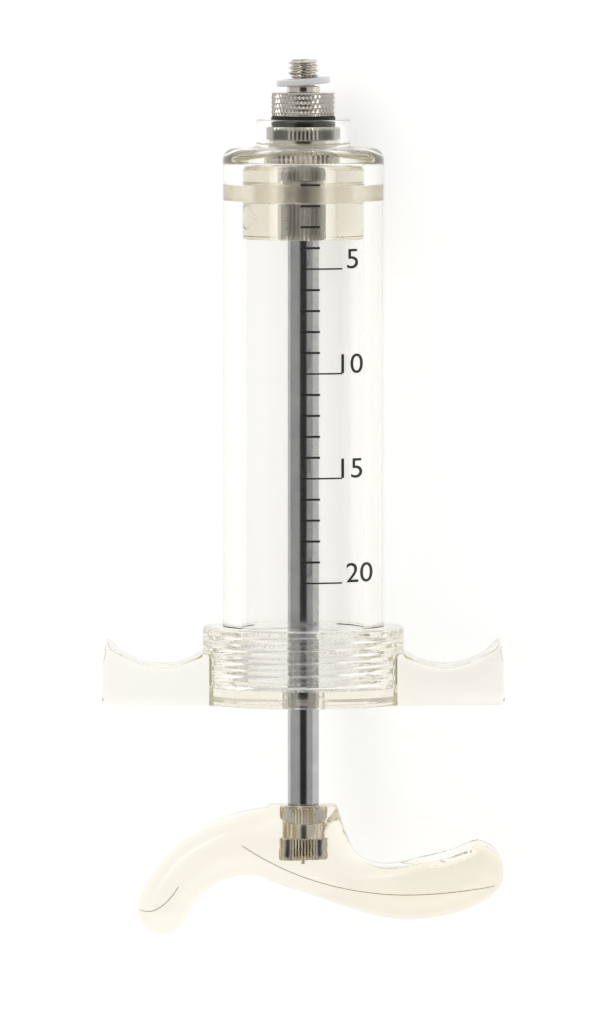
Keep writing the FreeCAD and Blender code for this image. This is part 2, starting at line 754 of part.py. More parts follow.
def lay_down():
    """The placement that lays the syringe on a table: on its shoulder, its ring and its right wing."""
    shoulder = size("shoulder_round")
    shoulder_r = size("barrel_outer_diameter") / 2 - shoulder
    shoulder_z = size("barrel_end_wall") - shoulder
    ring_r = size("ring_diameter") / 2
    ring_z = reckon(RING_TOP) - size("ring_top_chamfer")
    along, across = shoulder_z - ring_z, ring_r - shoulder_r
    dip = math.atan2(across, along) - math.asin(shoulder / math.hypot(along, across))
    height = ring_r * math.cos(dip) + ring_z * math.sin(dip)

    corner = size("wing_edge_round")
    wing_x = size("wing_tip_reach") - corner
    wing_y = size("wing_depth") / 2 - corner
    wing_z = reckon(RING_BOTTOM) + size("wing_height") - size("wing_nose_round")
    sink = (height - corner - wing_z * math.sin(dip)) / math.cos(dip)
    roll = math.asin(sink / math.hypot(wing_x, wing_y)) - math.atan2(wing_y, wing_x)

    tip_over = FreeCAD.Rotation(FreeCAD.Vector(1, 0, 0), -90 - math.degrees(dip))
    roll_over = FreeCAD.Rotation(FreeCAD.Vector(0, 0, 1), math.degrees(roll))
    return FreeCAD.Placement(FreeCAD.Vector(0, 0, height), tip_over.multiply(roll_over))


def washer_seat():
    """Where the loose washer sits on the neck's shoulder, its right side higher than its left."""
    tilt = size("washer_tilt")
    lift = size("neck_diameter") / 2 * math.sin(math.radians(tilt))
    level = reckon(NECK_TOP) + lift + size("washer_thickness") / 2 * math.cos(math.radians(tilt))
    lean = FreeCAD.Rotation(FreeCAD.Vector(0, 1, 0), -tilt)
    return FreeCAD.Placement(FreeCAD.Vector(0, 0, level), lean)


def check(piece):
    """Stops the build if a piece isn't one sound solid."""
    shape = piece.Shape
    if shape.isNull() or not shape.isValid() or len(shape.Solids) != 1:
        raise RuntimeError(f"{piece.Label} is not one valid solid")


PIECES = [
    make_barrel(),
    make_nozzle_insert(),
    make_nozzle_gasket(),
    make_nozzle_head(),
    make_nozzle_washer(),
    make_piston(),
    make_piston_seal(),
    make_piston_insert(),
    make_plunger_rod(),
    make_finger_ring(),
    make_handle(),
    make_handle_insert(),
]

# All pieces are laid down together, and then moved so that the origin is under the middle of the whole.
laid = lay_down()
for piece in PIECES:
    piece.Placement = laid.multiply(washer_seat()) if piece.Label == "nozzle_washer" else laid
doc.recompute()
box = FreeCAD.BoundBox()
for piece in PIECES:
    box.add(piece.Shape.optimalBoundingBox(False, False))
centring = FreeCAD.Placement(FreeCAD.Vector(-box.Center.x, -box.Center.y, -box.ZMin), FreeCAD.Rotation())
for piece in PIECES:
    piece.Placement = centring.multiply(piece.Placement)
doc.recompute()

failed = [o.Label for o in doc.Objects if "Invalid" in o.State or "Error" in o.State]
if failed:
    raise RuntimeError(f"failed objects: {failed}")
for piece in PIECES:
    check(piece)

os.makedirs("parts", exist_ok=True)
for piece in PIECES:
    piece.Shape.exportStep(f"parts/{piece.Label}.step")
    print(f"{piece.Label}: {piece.Shape.Volume / 1000:.3f} cm3")
tip_way = laid.Rotation.multVec(FreeCAD.Vector(0, 0, 1))
print("scale zero on the axis, mm:", [round(v, 4) for v in PIECES[0].Placement.Base])
print("axis towards the tip:", [round(v, 7) for v in tip_way])
print("reader's side:", [round(v, 7) for v in laid.Rotation.multVec(FreeCAD.Vector(0, -1, 0))])
print("overall box, mm:", round(box.XLength, 2), round(box.YLength, 2), round(box.ZLength, 2))
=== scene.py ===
"""Refillable piston syringe of clear plastic with plated fittings, lying on a pale table.

Sizes are in millimetres in the syringe's own axes: Z points at the tip, X to the right of the scale's
reader, -Y at the reader, and level 0 is the closed end of the bore. One matrix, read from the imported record,
lays every mesh down.
"""

import json
import logging
import math
from dataclasses import dataclass
from enum import Enum
from typing import Any, Callable

import bmesh
import bpy
import numpy as np
from mathutils import Matrix, Vector


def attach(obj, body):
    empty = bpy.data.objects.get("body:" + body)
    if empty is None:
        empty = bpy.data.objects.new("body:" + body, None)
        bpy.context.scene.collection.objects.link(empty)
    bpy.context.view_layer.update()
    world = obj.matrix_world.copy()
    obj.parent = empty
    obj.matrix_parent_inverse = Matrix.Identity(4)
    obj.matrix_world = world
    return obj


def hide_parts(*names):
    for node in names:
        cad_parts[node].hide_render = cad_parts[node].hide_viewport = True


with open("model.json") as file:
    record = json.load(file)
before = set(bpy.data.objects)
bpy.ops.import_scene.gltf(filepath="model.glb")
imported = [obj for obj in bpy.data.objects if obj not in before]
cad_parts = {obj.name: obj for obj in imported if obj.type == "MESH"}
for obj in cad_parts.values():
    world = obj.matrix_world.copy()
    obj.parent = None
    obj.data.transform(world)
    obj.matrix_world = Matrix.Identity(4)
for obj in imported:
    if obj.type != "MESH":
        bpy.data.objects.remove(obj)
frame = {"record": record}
log = logging.getLogger("syringe")

MM = 0.001
# Further away than any place on the syringe.
FAR = 1e3
# A point of an outline that is nearer to the axis than this lies on it.
ON_AXIS = 1e-6
# An edge is shaded sharp if its faces turn by more than this.
SHARP_ANGLE = math.radians(32)
# Each rounded corner of an outline has this many sides, and an extra point this far outside each end.
ARC_STEPS = 7
ARC_LEAD = 0.1
# The largest shares of a side that one arc may take, without and with its extra point.
ARC_SHARE = 0.49
LEAD_SHARE = 0.495
# Knurls and marks are cut only into what lies this close to the full radius.
SKIN = 0.05
# The extra rows for a relief start this far outside a radius that stays plain.
CLEAR = 0.1
# A straight knurl has rows this far apart, and this many facets for each tooth.
KNURL_ROW = 0.5
TOOTH_FACETS = 8

Outline = list[tuple[float, float]]
Faces = list[list[int]]
Mesh = tuple[np.ndarray, Faces]
Relief = Callable[[np.ndarray, np.ndarray, np.ndarray], np.ndarray]
Field = Callable[[np.ndarray], np.ndarray]


class Body(Enum):
    """The moving bodies that pieces ride on."""

    BARREL = "barrel"
    GASKET = "gasket"
    NOZZLE = "nozzle"
    SEAL = "seal"
    PLUNGER = "plunger"
    RING = "finger_ring"


@dataclass(frozen=True)
class Layout:
    """Where the syringe lies: the place of level 0 on its axis, and the three ways of its own axes."""

    zero: Vector
    right: Vector
    back: Vector
    tip: Vector

    @classmethod
    def from_record(cls, record: dict[str, Any]) -> "Layout":
        """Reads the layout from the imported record.

        Args:
            record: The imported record, with its joints and mounts.

        Returns:
            The layout of the syringe at rest.
        """
        turn = next(j for j in record["behaviour"]["joints"] if j["name"] == "nozzle_turn")
        mounts = {m["name"]: Vector(m["pos_m"]) for m in record["mounts"]}
        tip = Vector(turn["axis"]).normalized()
        right = (mounts["finger_saddle_right"] - mounts["finger_saddle_left"]).normalized()
        return cls(Vector(turn["pos_m"]), right, tip.cross(right).normalized(), tip)

    def matrix(self) -> Matrix:
        """The matrix from millimetres in the syringe's axes to metres in the row frame."""
        turned = Matrix((self.right, self.back, self.tip)).transposed() * MM
        return Matrix.Translation(self.zero) @ turned.to_4x4()

    def place(self, x: float, y: float, z: float) -> Vector:
        """A point of the syringe's own axes, in the row frame in metres."""
        return self.matrix() @ Vector((x, y, z))

    def way(self, x: float, y: float, z: float) -> Vector:
        """A direction of the syringe's own axes, in the row frame."""
        return (self.right * x + self.back * y + self.tip * z).normalized()


LAYOUT = Layout.from_record(frame["record"])


def linear(hex_colour: str) -> tuple[float, float, float, float]:
    """Turns an sRGB hex colour into the linear colour that shaders take.

    Args:
        hex_colour: Six hex digits after a hash sign.

    Returns:
        Red, green, blue and an alpha of one.
    """
    parts = [int(hex_colour[i : i + 2], 16) / 255 for i in (1, 3, 5)]
    return tuple(p / 12.92 if p <= 0.04045 else ((p + 0.055) / 1.055) ** 2.4 for p in parts) + (1.0,)


def add_node(tree: bpy.types.NodeTree, kind: str, settings: dict[str, Any],
             inputs: dict[Any, Any]) -> bpy.types.Node:
    """Adds a node, with its settings, its plain values and its links.

    Args:
        tree: The node tree that gets the node.
        kind: Blender's name for the node's type.
        settings: Properties of the node itself.
        inputs: Input name or number to a value, or to the output socket that feeds it.

    Returns:
        The new node.
    """
    node = tree.nodes.new(kind)
    for name, value in settings.items():
        setattr(node, name, value)
    for key, value in inputs.items():
        if isinstance(value, bpy.types.NodeSocket):
            tree.links.new(value, node.inputs[key])
        else:
            node.inputs[key].default_value = value
    return node


def new_material(name: str) -> tuple[bpy.types.Material, bpy.types.NodeTree]:
    """Makes an empty node material.

    Args:
        name: The material's name.

    Returns:
        The material and its tree.
    """
    material = bpy.data.materials.new(name)
    material.use_nodes = True
    material.node_tree.nodes.clear()
    return material, material.node_tree


def grain(tree: bpy.types.NodeTree, across_mm: tuple[float, float, float],
          detail: float) -> bpy.types.NodeSocket:
    """Noise whose spots measure a given size along each axis of the object.

    Args:
        tree: The material's tree.
        across_mm: The size of a spot along X, Y and Z, in millimetres.
        detail: How many finer octaves the noise has.

    Returns:
        The noise's factor.
    """
    coordinates = add_node(tree, "ShaderNodeTexCoord", {}, {})
    scale = tuple(1 / (size * MM) for size in across_mm)
    sized = add_node(tree, "ShaderNodeMapping", {}, {"Vector": coordinates.outputs["Object"], "Scale": scale})
    spots = {"Vector": sized.outputs[0], "Scale": 1.0, "Detail": detail}
    return add_node(tree, "ShaderNodeTexNoise", {}, spots).outputs[0]


@dataclass(frozen=True)
class ClearMoulding:
    """Moulded clear plastic or rubber: glassy, a faint flow in its skin, a tint that grows with depth."""

    name: str
    absorbs: str
    density: float
    surface: str = "#FFFFFF"
    ior: float = 1.51
    roughness: float = 0.015
    flow_mm: float = 9.0
    flow_depth_mm: float = 0.02
    flow_strength: float = 0.4

    def material(self) -> bpy.types.Material:
        """Makes the material. Light passes straight on for shadows, so that the table below stays pale.

        Returns:
            The material, with its absorption in the volume.
        """
        material, tree = new_material(self.name)
        flow = grain(tree, (self.flow_mm,) * 3, 1.0)
        height = {"Height": flow, "Strength": self.flow_strength, "Distance": self.flow_depth_mm * MM}
        skin = add_node(tree, "ShaderNodeBump", {}, height)
        glass = add_node(
            tree,
            "ShaderNodeBsdfPrincipled",
            {},
            {
                "Base Color": linear(self.surface),
                "Roughness": self.roughness,
                "IOR": self.ior,
                "Transmission Weight": 1.0,
                "Normal": skin.outputs[0],
            },
        )
        clear = add_node(tree, "ShaderNodeBsdfTransparent", {}, {"Color": linear(self.surface)})
        path = add_node(tree, "ShaderNodeLightPath", {}, {})
        shadow = path.outputs["Is Shadow Ray"]
        sides = {0: shadow, 1: glass.outputs[0], 2: clear.outputs[0]}
        mix = add_node(tree, "ShaderNodeMixShader", {}, sides)
        volume_inputs = {"Color": linear(self.absorbs), "Density": self.density}
        volume = add_node(tree, "ShaderNodeVolumeAbsorption", {}, volume_inputs)
        ends = {"Surface": mix.outputs[0], "Volume": volume.outputs[0]}
        add_node(tree, "ShaderNodeOutputMaterial", {}, ends)
        return material


@dataclass(frozen=True)
class WorkedMetal:
    """Turned, drawn or plated metal: fine tool marks in one direction and a little cloudiness."""

    name: str
    colour: str
    shade: str
    roughness: float
    marks_mm: tuple[float, float, float]
    mark_depth_mm: float = 0.004
    mark_strength: float = 0.35
    least_rough: float = 0.7
    most_rough: float = 1.5
    cloud_mm: float = 3.0

    def material(self) -> bpy.types.Material:
        """Makes a metal with the default IOR: clouds vary its colour, marks its roughness and bump.

        Returns:
            The material.
        """
        material, tree = new_material(self.name)
        cloud = grain(tree, (self.cloud_mm,) * 3, 2.0)
        marks = grain(tree, self.marks_mm, 2.0)
        colour = add_node(
            tree,
            "ShaderNodeMix",
            {"data_type": "RGBA"},
            {0: cloud, 6: linear(self.colour), 7: linear(self.shade)},
        )
        rough = add_node(
            tree,
            "ShaderNodeMapRange",
            {},
            {
                "Value": marks,
                "To Min": self.roughness * self.least_rough,
                "To Max": self.roughness * self.most_rough,
            },
        )
        height = {"Height": marks, "Strength": self.mark_strength, "Distance": self.mark_depth_mm * MM}
        skin = add_node(tree, "ShaderNodeBump", {}, height)
        metal = add_node(
            tree,
            "ShaderNodeBsdfPrincipled",
            {},
            {
                "Base Color": colour.outputs[2],
                "Metallic": 1.0,
                "Roughness": rough.outputs[0],
                "Normal": skin.outputs[0],
            },
        )
        add_node(tree, "ShaderNodeOutputMaterial", {}, {"Surface": metal.outputs[0]})
        return material


@dataclass(frozen=True)
class DullSkin:
    """Rubber, ink or soft plastic: a plain skin with fine grain, and a little light in it if it is thin."""

    name: str
    colour: str
    shade: str
    roughness: float
    grain_mm: float
    grain_depth_mm: float
    grain_strength: float = 0.3
    subsurface: float = 0.0
    scatter_mm: float = 0.4

    def material(self) -> bpy.types.Material:
        """Makes the material, with its grain in both colour and bump.

        Returns:
            The material.
        """
        material, tree = new_material(self.name)
        spots = grain(tree, (self.grain_mm,) * 3, 3.0)
        colour = add_node(
            tree,
            "ShaderNodeMix",
            {"data_type": "RGBA"},
            {0: spots, 6: linear(self.colour), 7: linear(self.shade)},
        )
        height = {"Height": spots, "Strength": self.grain_strength, "Distance": self.grain_depth_mm * MM}
        skin = add_node(tree, "ShaderNodeBump", {}, height)
        dull = add_node(
            tree,
            "ShaderNodeBsdfPrincipled",
            {},
            {
                "Base Color": colour.outputs[2],
                "Roughness": self.roughness,
                "Subsurface Weight": self.subsurface,
                "Subsurface Scale": self.scatter_mm * MM,
                "Normal": skin.outputs[0],
            },
        )
        add_node(tree, "ShaderNodeOutputMaterial", {}, {"Surface": dull.outputs[0]})
        return material


Finish = ClearMoulding | WorkedMetal | DullSkin

# Finishes. Absorption is per metre, and tool marks are drawn coarser than real ones, so that they show.

# Clear nylon, moulded and polished: glassy walls with bright rims, and hardly a tint over 3 mm.
BARREL_NYLON = ClearMoulding("clear_nylon_moulded", absorbs="#F3EFDF", density=30.0)
# Amber nylon, moulded: the same glassy skin, which over the handle's 13 mm is seen to yellow.
AMBER_NYLON = ClearMoulding("amber_nylon_moulded", absorbs="#F0E4BC", density=30.0)
# Nickel-plated brass, turned: warm silver that mirrors light and dark in fine rings round the axis.
PLATED_BRASS = WorkedMetal("nickel_plated_brass_turned", "#E8E4DC", "#C2BCB0", 0.12, (1.5, 0.12, 1.5))
# Zinc-plated steel, knurled: a duller grey with a soft sheen.
GREY_HUB = WorkedMetal("zinc_plated_steel_knurled", "#CFCDC9", "#ACAAA6", 0.28, (1.0, 0.2, 1.0))
# Stainless steel, drawn and polished: long light and dark streaks along the rod.
DRAWN_STEEL = WorkedMetal("stainless_steel_drawn", "#C4C4C4", "#A8A8AA", 0.12, (0.12, 6.0, 0.12), 0.002)
# Nitrile rubber, moulded: black, with a soft dull light on its rounded edge.
BLACK_RUBBER = DullSkin("nitrile_rubber_moulded", "#0B0B0E", "#131317", 0.55, 0.3, 0.01)
# Silicone rubber, moulded: beige, cloudy, and lit from behind.
BEIGE_RUBBER = ClearMoulding(
    "silicone_rubber_moulded", absorbs="#EBDCB4", density=110.0, ior=1.42, roughness=0.22
)
# White nylon, stamped from sheet: milky, with a little light in it.
WHITE_NYLON = DullSkin("white_nylon_stamped", "#F0F0F2", "#E6E6E9", 0.45, 0.5, 0.01, subsurface=0.3)
# Amber nylon where the mould's halves met: a hair-thin ridge, darker than the clear grip behind it.
FLASH_RIDGE = DullSkin("amber_nylon_flash", "#C4BA9C", "#B3A989", 0.4, 0.4, 0.004)
# Screen-printed ink: black and matt, with a fine grain.
BLACK_INK = DullSkin("screen_printed_ink", "#121214", "#1C1C20", 0.5, 0.2, 0.004)


def soften(corners: list[tuple[float, float, float]], closed: bool) -> Outline:
    """Rounds the corners of an outline.

    Args:
        corners: Radius, level and rounding of each corner.
        closed: True if the last corner joins the first.

    Returns:
        The outline's points, with an arc at each rounded corner. A point close to each end of an arc keeps
        the shading of the straight sides straight.
    """
    points: Outline = []
    count = len(corners)
    for n, (radius, level, rounding) in enumerate(corners):
        inner = closed or 0 < n < count - 1
        if not (rounding and inner):
            points.append((radius, level))
            continue
        here = Vector((radius, level))
        before = Vector(corners[n - 1][:2]) - here
        after = Vector(corners[(n + 1) % count][:2]) - here
        half = before.angle(after) / 2
        reach = min(rounding / math.tan(half), before.length * ARC_SHARE, after.length * ARC_SHARE)
        rounding = reach * math.tan(half)
        inward = (before.normalized() + after.normalized()).normalized()
        centre = here + inward * (rounding / math.sin(half))
        start = here + before.normalized() * reach - centre
        end = here + after.normalized() * reach - centre
        lead_in = here + before.normalized() * min(reach + ARC_LEAD, before.length * LEAD_SHARE)
        lead_out = here + after.normalized() * min(reach + ARC_LEAD, after.length * LEAD_SHARE)
        points.append(tuple(lead_in))
        for step in range(ARC_STEPS + 1):
            spot = start.slerp(end, step / ARC_STEPS).normalized() * rounding
            points.append((centre.x + spot.x, centre.y + spot.y))
        points.append(tuple(lead_out))
    return points


def refine(outline: Outline, longest: float, closed: bool, level_from: float = -FAR, level_to: float = FAR,
           radius_from: float = 0.0) -> Outline:
    """Divides the long sides of a stretch of an outline, so that a relief has rows enough to show.

    Args:
        outline: The outline's points.
        longest: The longest side to leave, in millimetres.
        closed: True if the last point joins the first.
        level_from: Where the stretch starts along the axis.
        level_to: Where the stretch ends along the axis.
        radius_from: The stretch leaves out what lies nearer to the axis.

    Returns:
        The outline with the extra points.
    """
    result: Outline = []
    ends = outline[1:] + outline[:1] if closed else outline[1:]
    for start, end in zip(outline, ends):
        parts = math.ceil(math.dist(start, end) / longest)
        rows = [tuple(s + (e - s) * k / parts for s, e in zip(start, end)) for k in range(1, parts)]
        result.append(tuple(start))
        result += [row for row in rows if level_from < row[1] < level_to and row[0] > radius_from]
    return result if closed else result + outline[-1:]


def make_piece(name: str, points: np.ndarray, faces: Faces, finish: Finish, body: Body,
               slot: str | None = None, *nodes: str) -> bpy.types.Object:
    """Makes a piece from points in the syringe's own axes, with its faces outward, and ties it to its body.

    Args:
        name: The piece's name.
        points: Its points in millimetres, one row each.
        faces: Its faces, as lists of point numbers.
        finish: Its finish.
        body: The body that it rides on.
        slot: The record's material slot, or None for what the record has no slot for, such as print. It is not
            used.
        nodes: The CAD nodes that it stands for.

    Returns:
        The new object.
    """
    mesh = bpy.data.meshes.new(name)
    mesh.from_pydata([tuple(p) for p in points], [], faces)
    shell = bmesh.new()
    shell.from_mesh(mesh)
    bmesh.ops.recalc_face_normals(shell, faces=shell.faces)
    if shell.calc_volume(signed=True) < 0:
        bmesh.ops.reverse_faces(shell, faces=shell.faces)
    shell.to_mesh(mesh)
    shell.free()
    mesh.transform(LAYOUT.matrix())
    mesh.shade_smooth()
    mesh.set_sharp_from_angle(angle=SHARP_ANGLE)
    mesh.materials.append(finish.material())
    piece = bpy.data.objects.new(name, mesh)
    bpy.context.scene.collection.objects.link(piece)
    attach(piece, body.value)
    if nodes:
        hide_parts(*nodes)
    log.info("%s: %d faces on %s", name, len(mesh.polygons), body.value)
    return piece


def lathe(outline: Outline, steps: int, closed: bool, relief: Relief | None = None) -> Mesh:
    """Turns an outline round the axis.

    Args:
        outline: Radius and level of each point. An open outline starts and ends on the axis.
        steps: How many faces go round.
        closed: True if the outline is a loop that stays off the axis.
        relief: Gives new radii from radii, levels and angles, for threads and knurls.

    Returns:
        Points and faces.
    """
    angles = np.arange(steps) * 2 * math.pi / steps
    points: list[np.ndarray] = []
    rows: list[list[int]] = []
    total = 0
    for radius, level in outline:
        if radius < ON_AXIS:
            points.append(np.array([[0.0, 0.0, level]]))
            rows.append([total] * steps)
            total += 1
            continue
        around = np.full(steps, float(radius))
        if relief:
            around = relief(around, np.full(steps, float(level)), angles)
        ring = [around * np.cos(angles), around * np.sin(angles), np.full(steps, level)]
        points.append(np.stack(ring, 1))
        rows.append(list(range(total, total + steps)))
        total += steps
    faces: Faces = []
    pairs = list(zip(rows, rows[1:] + rows[:1])) if closed else list(zip(rows, rows[1:]))
    for low, high in pairs:
        for n in range(steps):
            m = (n + 1) % steps
            faces.append(list(dict.fromkeys([low[n], low[m], high[m], high[n]])))
    return np.concatenate(points), faces


@dataclass(frozen=True)
class Thread:
    """A right-hand screw thread that fades out at both ends of its stretch.

    The flank is the share of half a pitch that the thread takes to rise from half its height to its crest.
    """

    root: float
    crest: float
    pitch: float
    low: float
    high: float
    fade: float
    flank: float = 0.3

    def height(self, levels: np.ndarray, angles: np.ndarray) -> np.ndarray:
        """How far the thread stands above its root, from zero to one.

        Args:
            levels: Levels along the axis.
            angles: Angles round the axis.

        Returns:
            The share of the full height at each place.
        """
        phase = np.abs(((levels / self.pitch - angles / (2 * math.pi)) % 1.0) - 0.5) * 2
        rise = np.clip((phase - (0.5 - self.flank)) / (2 * self.flank), 0, 1)
        ends = np.clip(np.minimum(levels - self.low, self.high - levels) / self.fade, 0, 1)
        return rise * rise * (3 - 2 * rise) * ends

    def radius(self, levels: np.ndarray, angles: np.ndarray) -> np.ndarray:
        """The thread's own radius at each place."""
        return self.root + (self.crest - self.root) * self.height(levels, angles)


def straight_knurl(radius: float, depth: float, teeth: int) -> Relief:
    """V grooves along the axis, cut wherever the piece has its full radius.

    Args:
        radius: The full radius.
        depth: How deep the grooves are.
        teeth: How many teeth go round.

    Returns:
        The relief for lathe.
    """

    def relief(radii: np.ndarray, levels: np.ndarray, angles: np.ndarray) -> np.ndarray:
        """Cuts the grooves."""
        groove = np.abs((angles * teeth / (2 * math.pi)) % 1.0 - 0.5) * 2
        return np.where(radii > radius - SKIN, radii - depth * groove, radii)

    return relief


def diamond_knurl(radius: float, depth: float, teeth: int, lean: float) -> Relief:
    """Two sets of V grooves that cross.

    Args:
        radius: The full radius.
        depth: How deep the grooves are.
        teeth: How many grooves of each set go round.
        lean: How far each set leans from the axis, in degrees.

    Returns:
        The relief for lathe.
    """
    twist = math.tan(math.radians(lean)) / radius

    def relief(radii: np.ndarray, levels: np.ndarray, angles: np.ndarray) -> np.ndarray:
        """Cuts the grooves."""
        cuts = [np.abs(((angles + side * twist * levels) * teeth / (2 * math.pi)) % 1.0 - 0.5) * 2
                for side in (-1, 1)]
        return np.where(radii > radius - SKIN, radii - depth * np.maximum(*cuts), radii)

    return relief


@dataclass(frozen=True)
class FieldMesher:
    """Meshes the surface where a field of distances is zero."""

    field: Field
    low: tuple[float, float, float]
    high: tuple[float, float, float]
    cell: float
    # How many points are sampled at a time, so that they fit in memory.
    batch: int = 60000
    # How points settle: the rounds, the slope's probe, the least slope, and the longest move in cells.
    rounds: int = 4
    probe: float = 0.01
    least_steep: float = 0.05
    longest_move: float = 0.4

    def surface(self) -> Mesh:
        """Finds one point in each cell that the surface crosses, and joins them across the grid's edges.

        Returns:
            Points and faces.
        """
        axes = [np.arange(lo, hi + self.cell, self.cell) for lo, hi in zip(self.low, self.high)]
        shape = tuple(len(a) for a in axes)
        grid = np.stack(np.meshgrid(*axes, indexing="ij"), -1).reshape(-1, 3)
        values = self.sample(grid).reshape(shape)
        inside = values < 0
        eights = np.zeros(tuple(n - 1 for n in shape), int)
        corners = [(i, j, k) for i in (0, 1) for j in (0, 1) for k in (0, 1)]
        for i, j, k in corners:
            eights += inside[i : i + shape[0] - 1, j : j + shape[1] - 1, k : k + shape[2] - 1]
        cells = np.argwhere((eights > 0) & (eights < len(corners)))
        number = np.full(eights.shape, -1)
        number[tuple(cells.T)] = np.arange(len(cells))
        spots = self.settle(self.crossings(cells, values))
        faces: Faces = []
        for axis in range(3):
            faces += self.quads(axis, inside, number)
        return spots, faces

    def sample(self, points: np.ndarray) -> np.ndarray:
        """The field at many points, in batches that fit in memory."""
        batches = np.array_split(points, max(1, len(points) // self.batch))
        return np.concatenate([self.field(batch) for batch in batches])

    def crossings(self, cells: np.ndarray, values: np.ndarray) -> np.ndarray:
        """The mean of the places where each cell's edges cross the surface.

        Args:
            cells: The cells that the surface crosses, as grid numbers.
            values: The field at each corner of the grid.

        Returns:
            One point for each cell.
        """
        total = np.zeros((len(cells), 3))
        count = np.zeros(len(cells))
        for axis in range(3):
            others = [a for a in range(3) if a != axis]
            for first in (0, 1):
                for second in (0, 1):
                    start = np.zeros(3, int)
                    start[others[0]], start[others[1]] = first, second
                    stop = start.copy()
                    stop[axis] = 1
                    a = values[tuple((cells + start).T)]
                    b = values[tuple((cells + stop).T)]
                    crossed = (a < 0) != (b < 0)
                    share = np.where(crossed, a / np.where(crossed, a - b, 1), 0)
                    spot = cells + start + share[:, None] * (stop - start)
                    total[crossed] += spot[crossed]
                    count += crossed
        return np.array(self.low) + total / count[:, None] * self.cell

    def settle(self, spots: np.ndarray) -> np.ndarray:
        """Moves points onto the surface along the field's slope.

        Args:
            spots: Points close to the surface.

        Returns:
            The points on the surface.
        """
        probes = np.eye(3) * self.probe
        nothing = 1e-9
        for _ in range(self.rounds):
            rises = [self.sample(spots + probe) - self.sample(spots - probe) for probe in probes]
            slope = np.stack(rises, 1) / (2 * self.probe)
            steep = np.maximum((slope**2).sum(1), self.least_steep)
            move = self.sample(spots)[:, None] * slope / steep[:, None]
            length = np.maximum(np.linalg.norm(move, axis=1)[:, None], nothing)
            spots = spots - move * np.minimum(1, self.longest_move * self.cell / length)
        return spots

    @staticmethod
    def quads(axis: int, inside: np.ndarray, number: np.ndarray) -> Faces:
        """The faces that cross the grid's edges along one axis.

        Args:
            axis: The axis that the edges run along.
            inside: Which corners of the grid lie inside.
            number: Each cell's point number.

        Returns:
            The faces, as lists of four point numbers.
        """
        second, third = (axis + 1) % 3, (axis + 2) % 3
        here = np.moveaxis(inside, (axis, second, third), (0, 1, 2))
        index = np.moveaxis(number, (axis, second, third), (0, 1, 2))
        start, stop = here[:-1, 1:-1, 1:-1], here[1:, 1:-1, 1:-1]
        found = np.argwhere(start != stop)
        outward = start[tuple(found.T)]
        i, j, k = found.T
        ring = np.stack([index[i, j + 1, k + 1], index[i, j, k + 1], index[i, j, k], index[i, j + 1, k]], 1)
        ring[~outward] = ring[~outward][:, ::-1]
        return ring.tolist()


def rounded_join(first: np.ndarray, second: np.ndarray, rounding: float | np.ndarray) -> np.ndarray:
    """The field of what lies in both of two fields, with the edge between them rounded.

    Args:
        first: One field.
        second: The other.
        rounding: The edge's radius, or one radius for each place.

    Returns:
        The new field.
    """
    a, b = first + rounding, second + rounding
    outside = np.hypot(np.maximum(a, 0), np.maximum(b, 0))
    return np.minimum(np.maximum(a, b), 0) + outside - rounding


def melt(first: np.ndarray, second: np.ndarray, blend: float) -> np.ndarray:
    """The field of two forms together, with a soft fillet where they meet."""
    share = np.clip(0.5 + 0.5 * (second - first) / blend, 0, 1)
    return second * (1 - share) + first * share - blend * share * (1 - share)


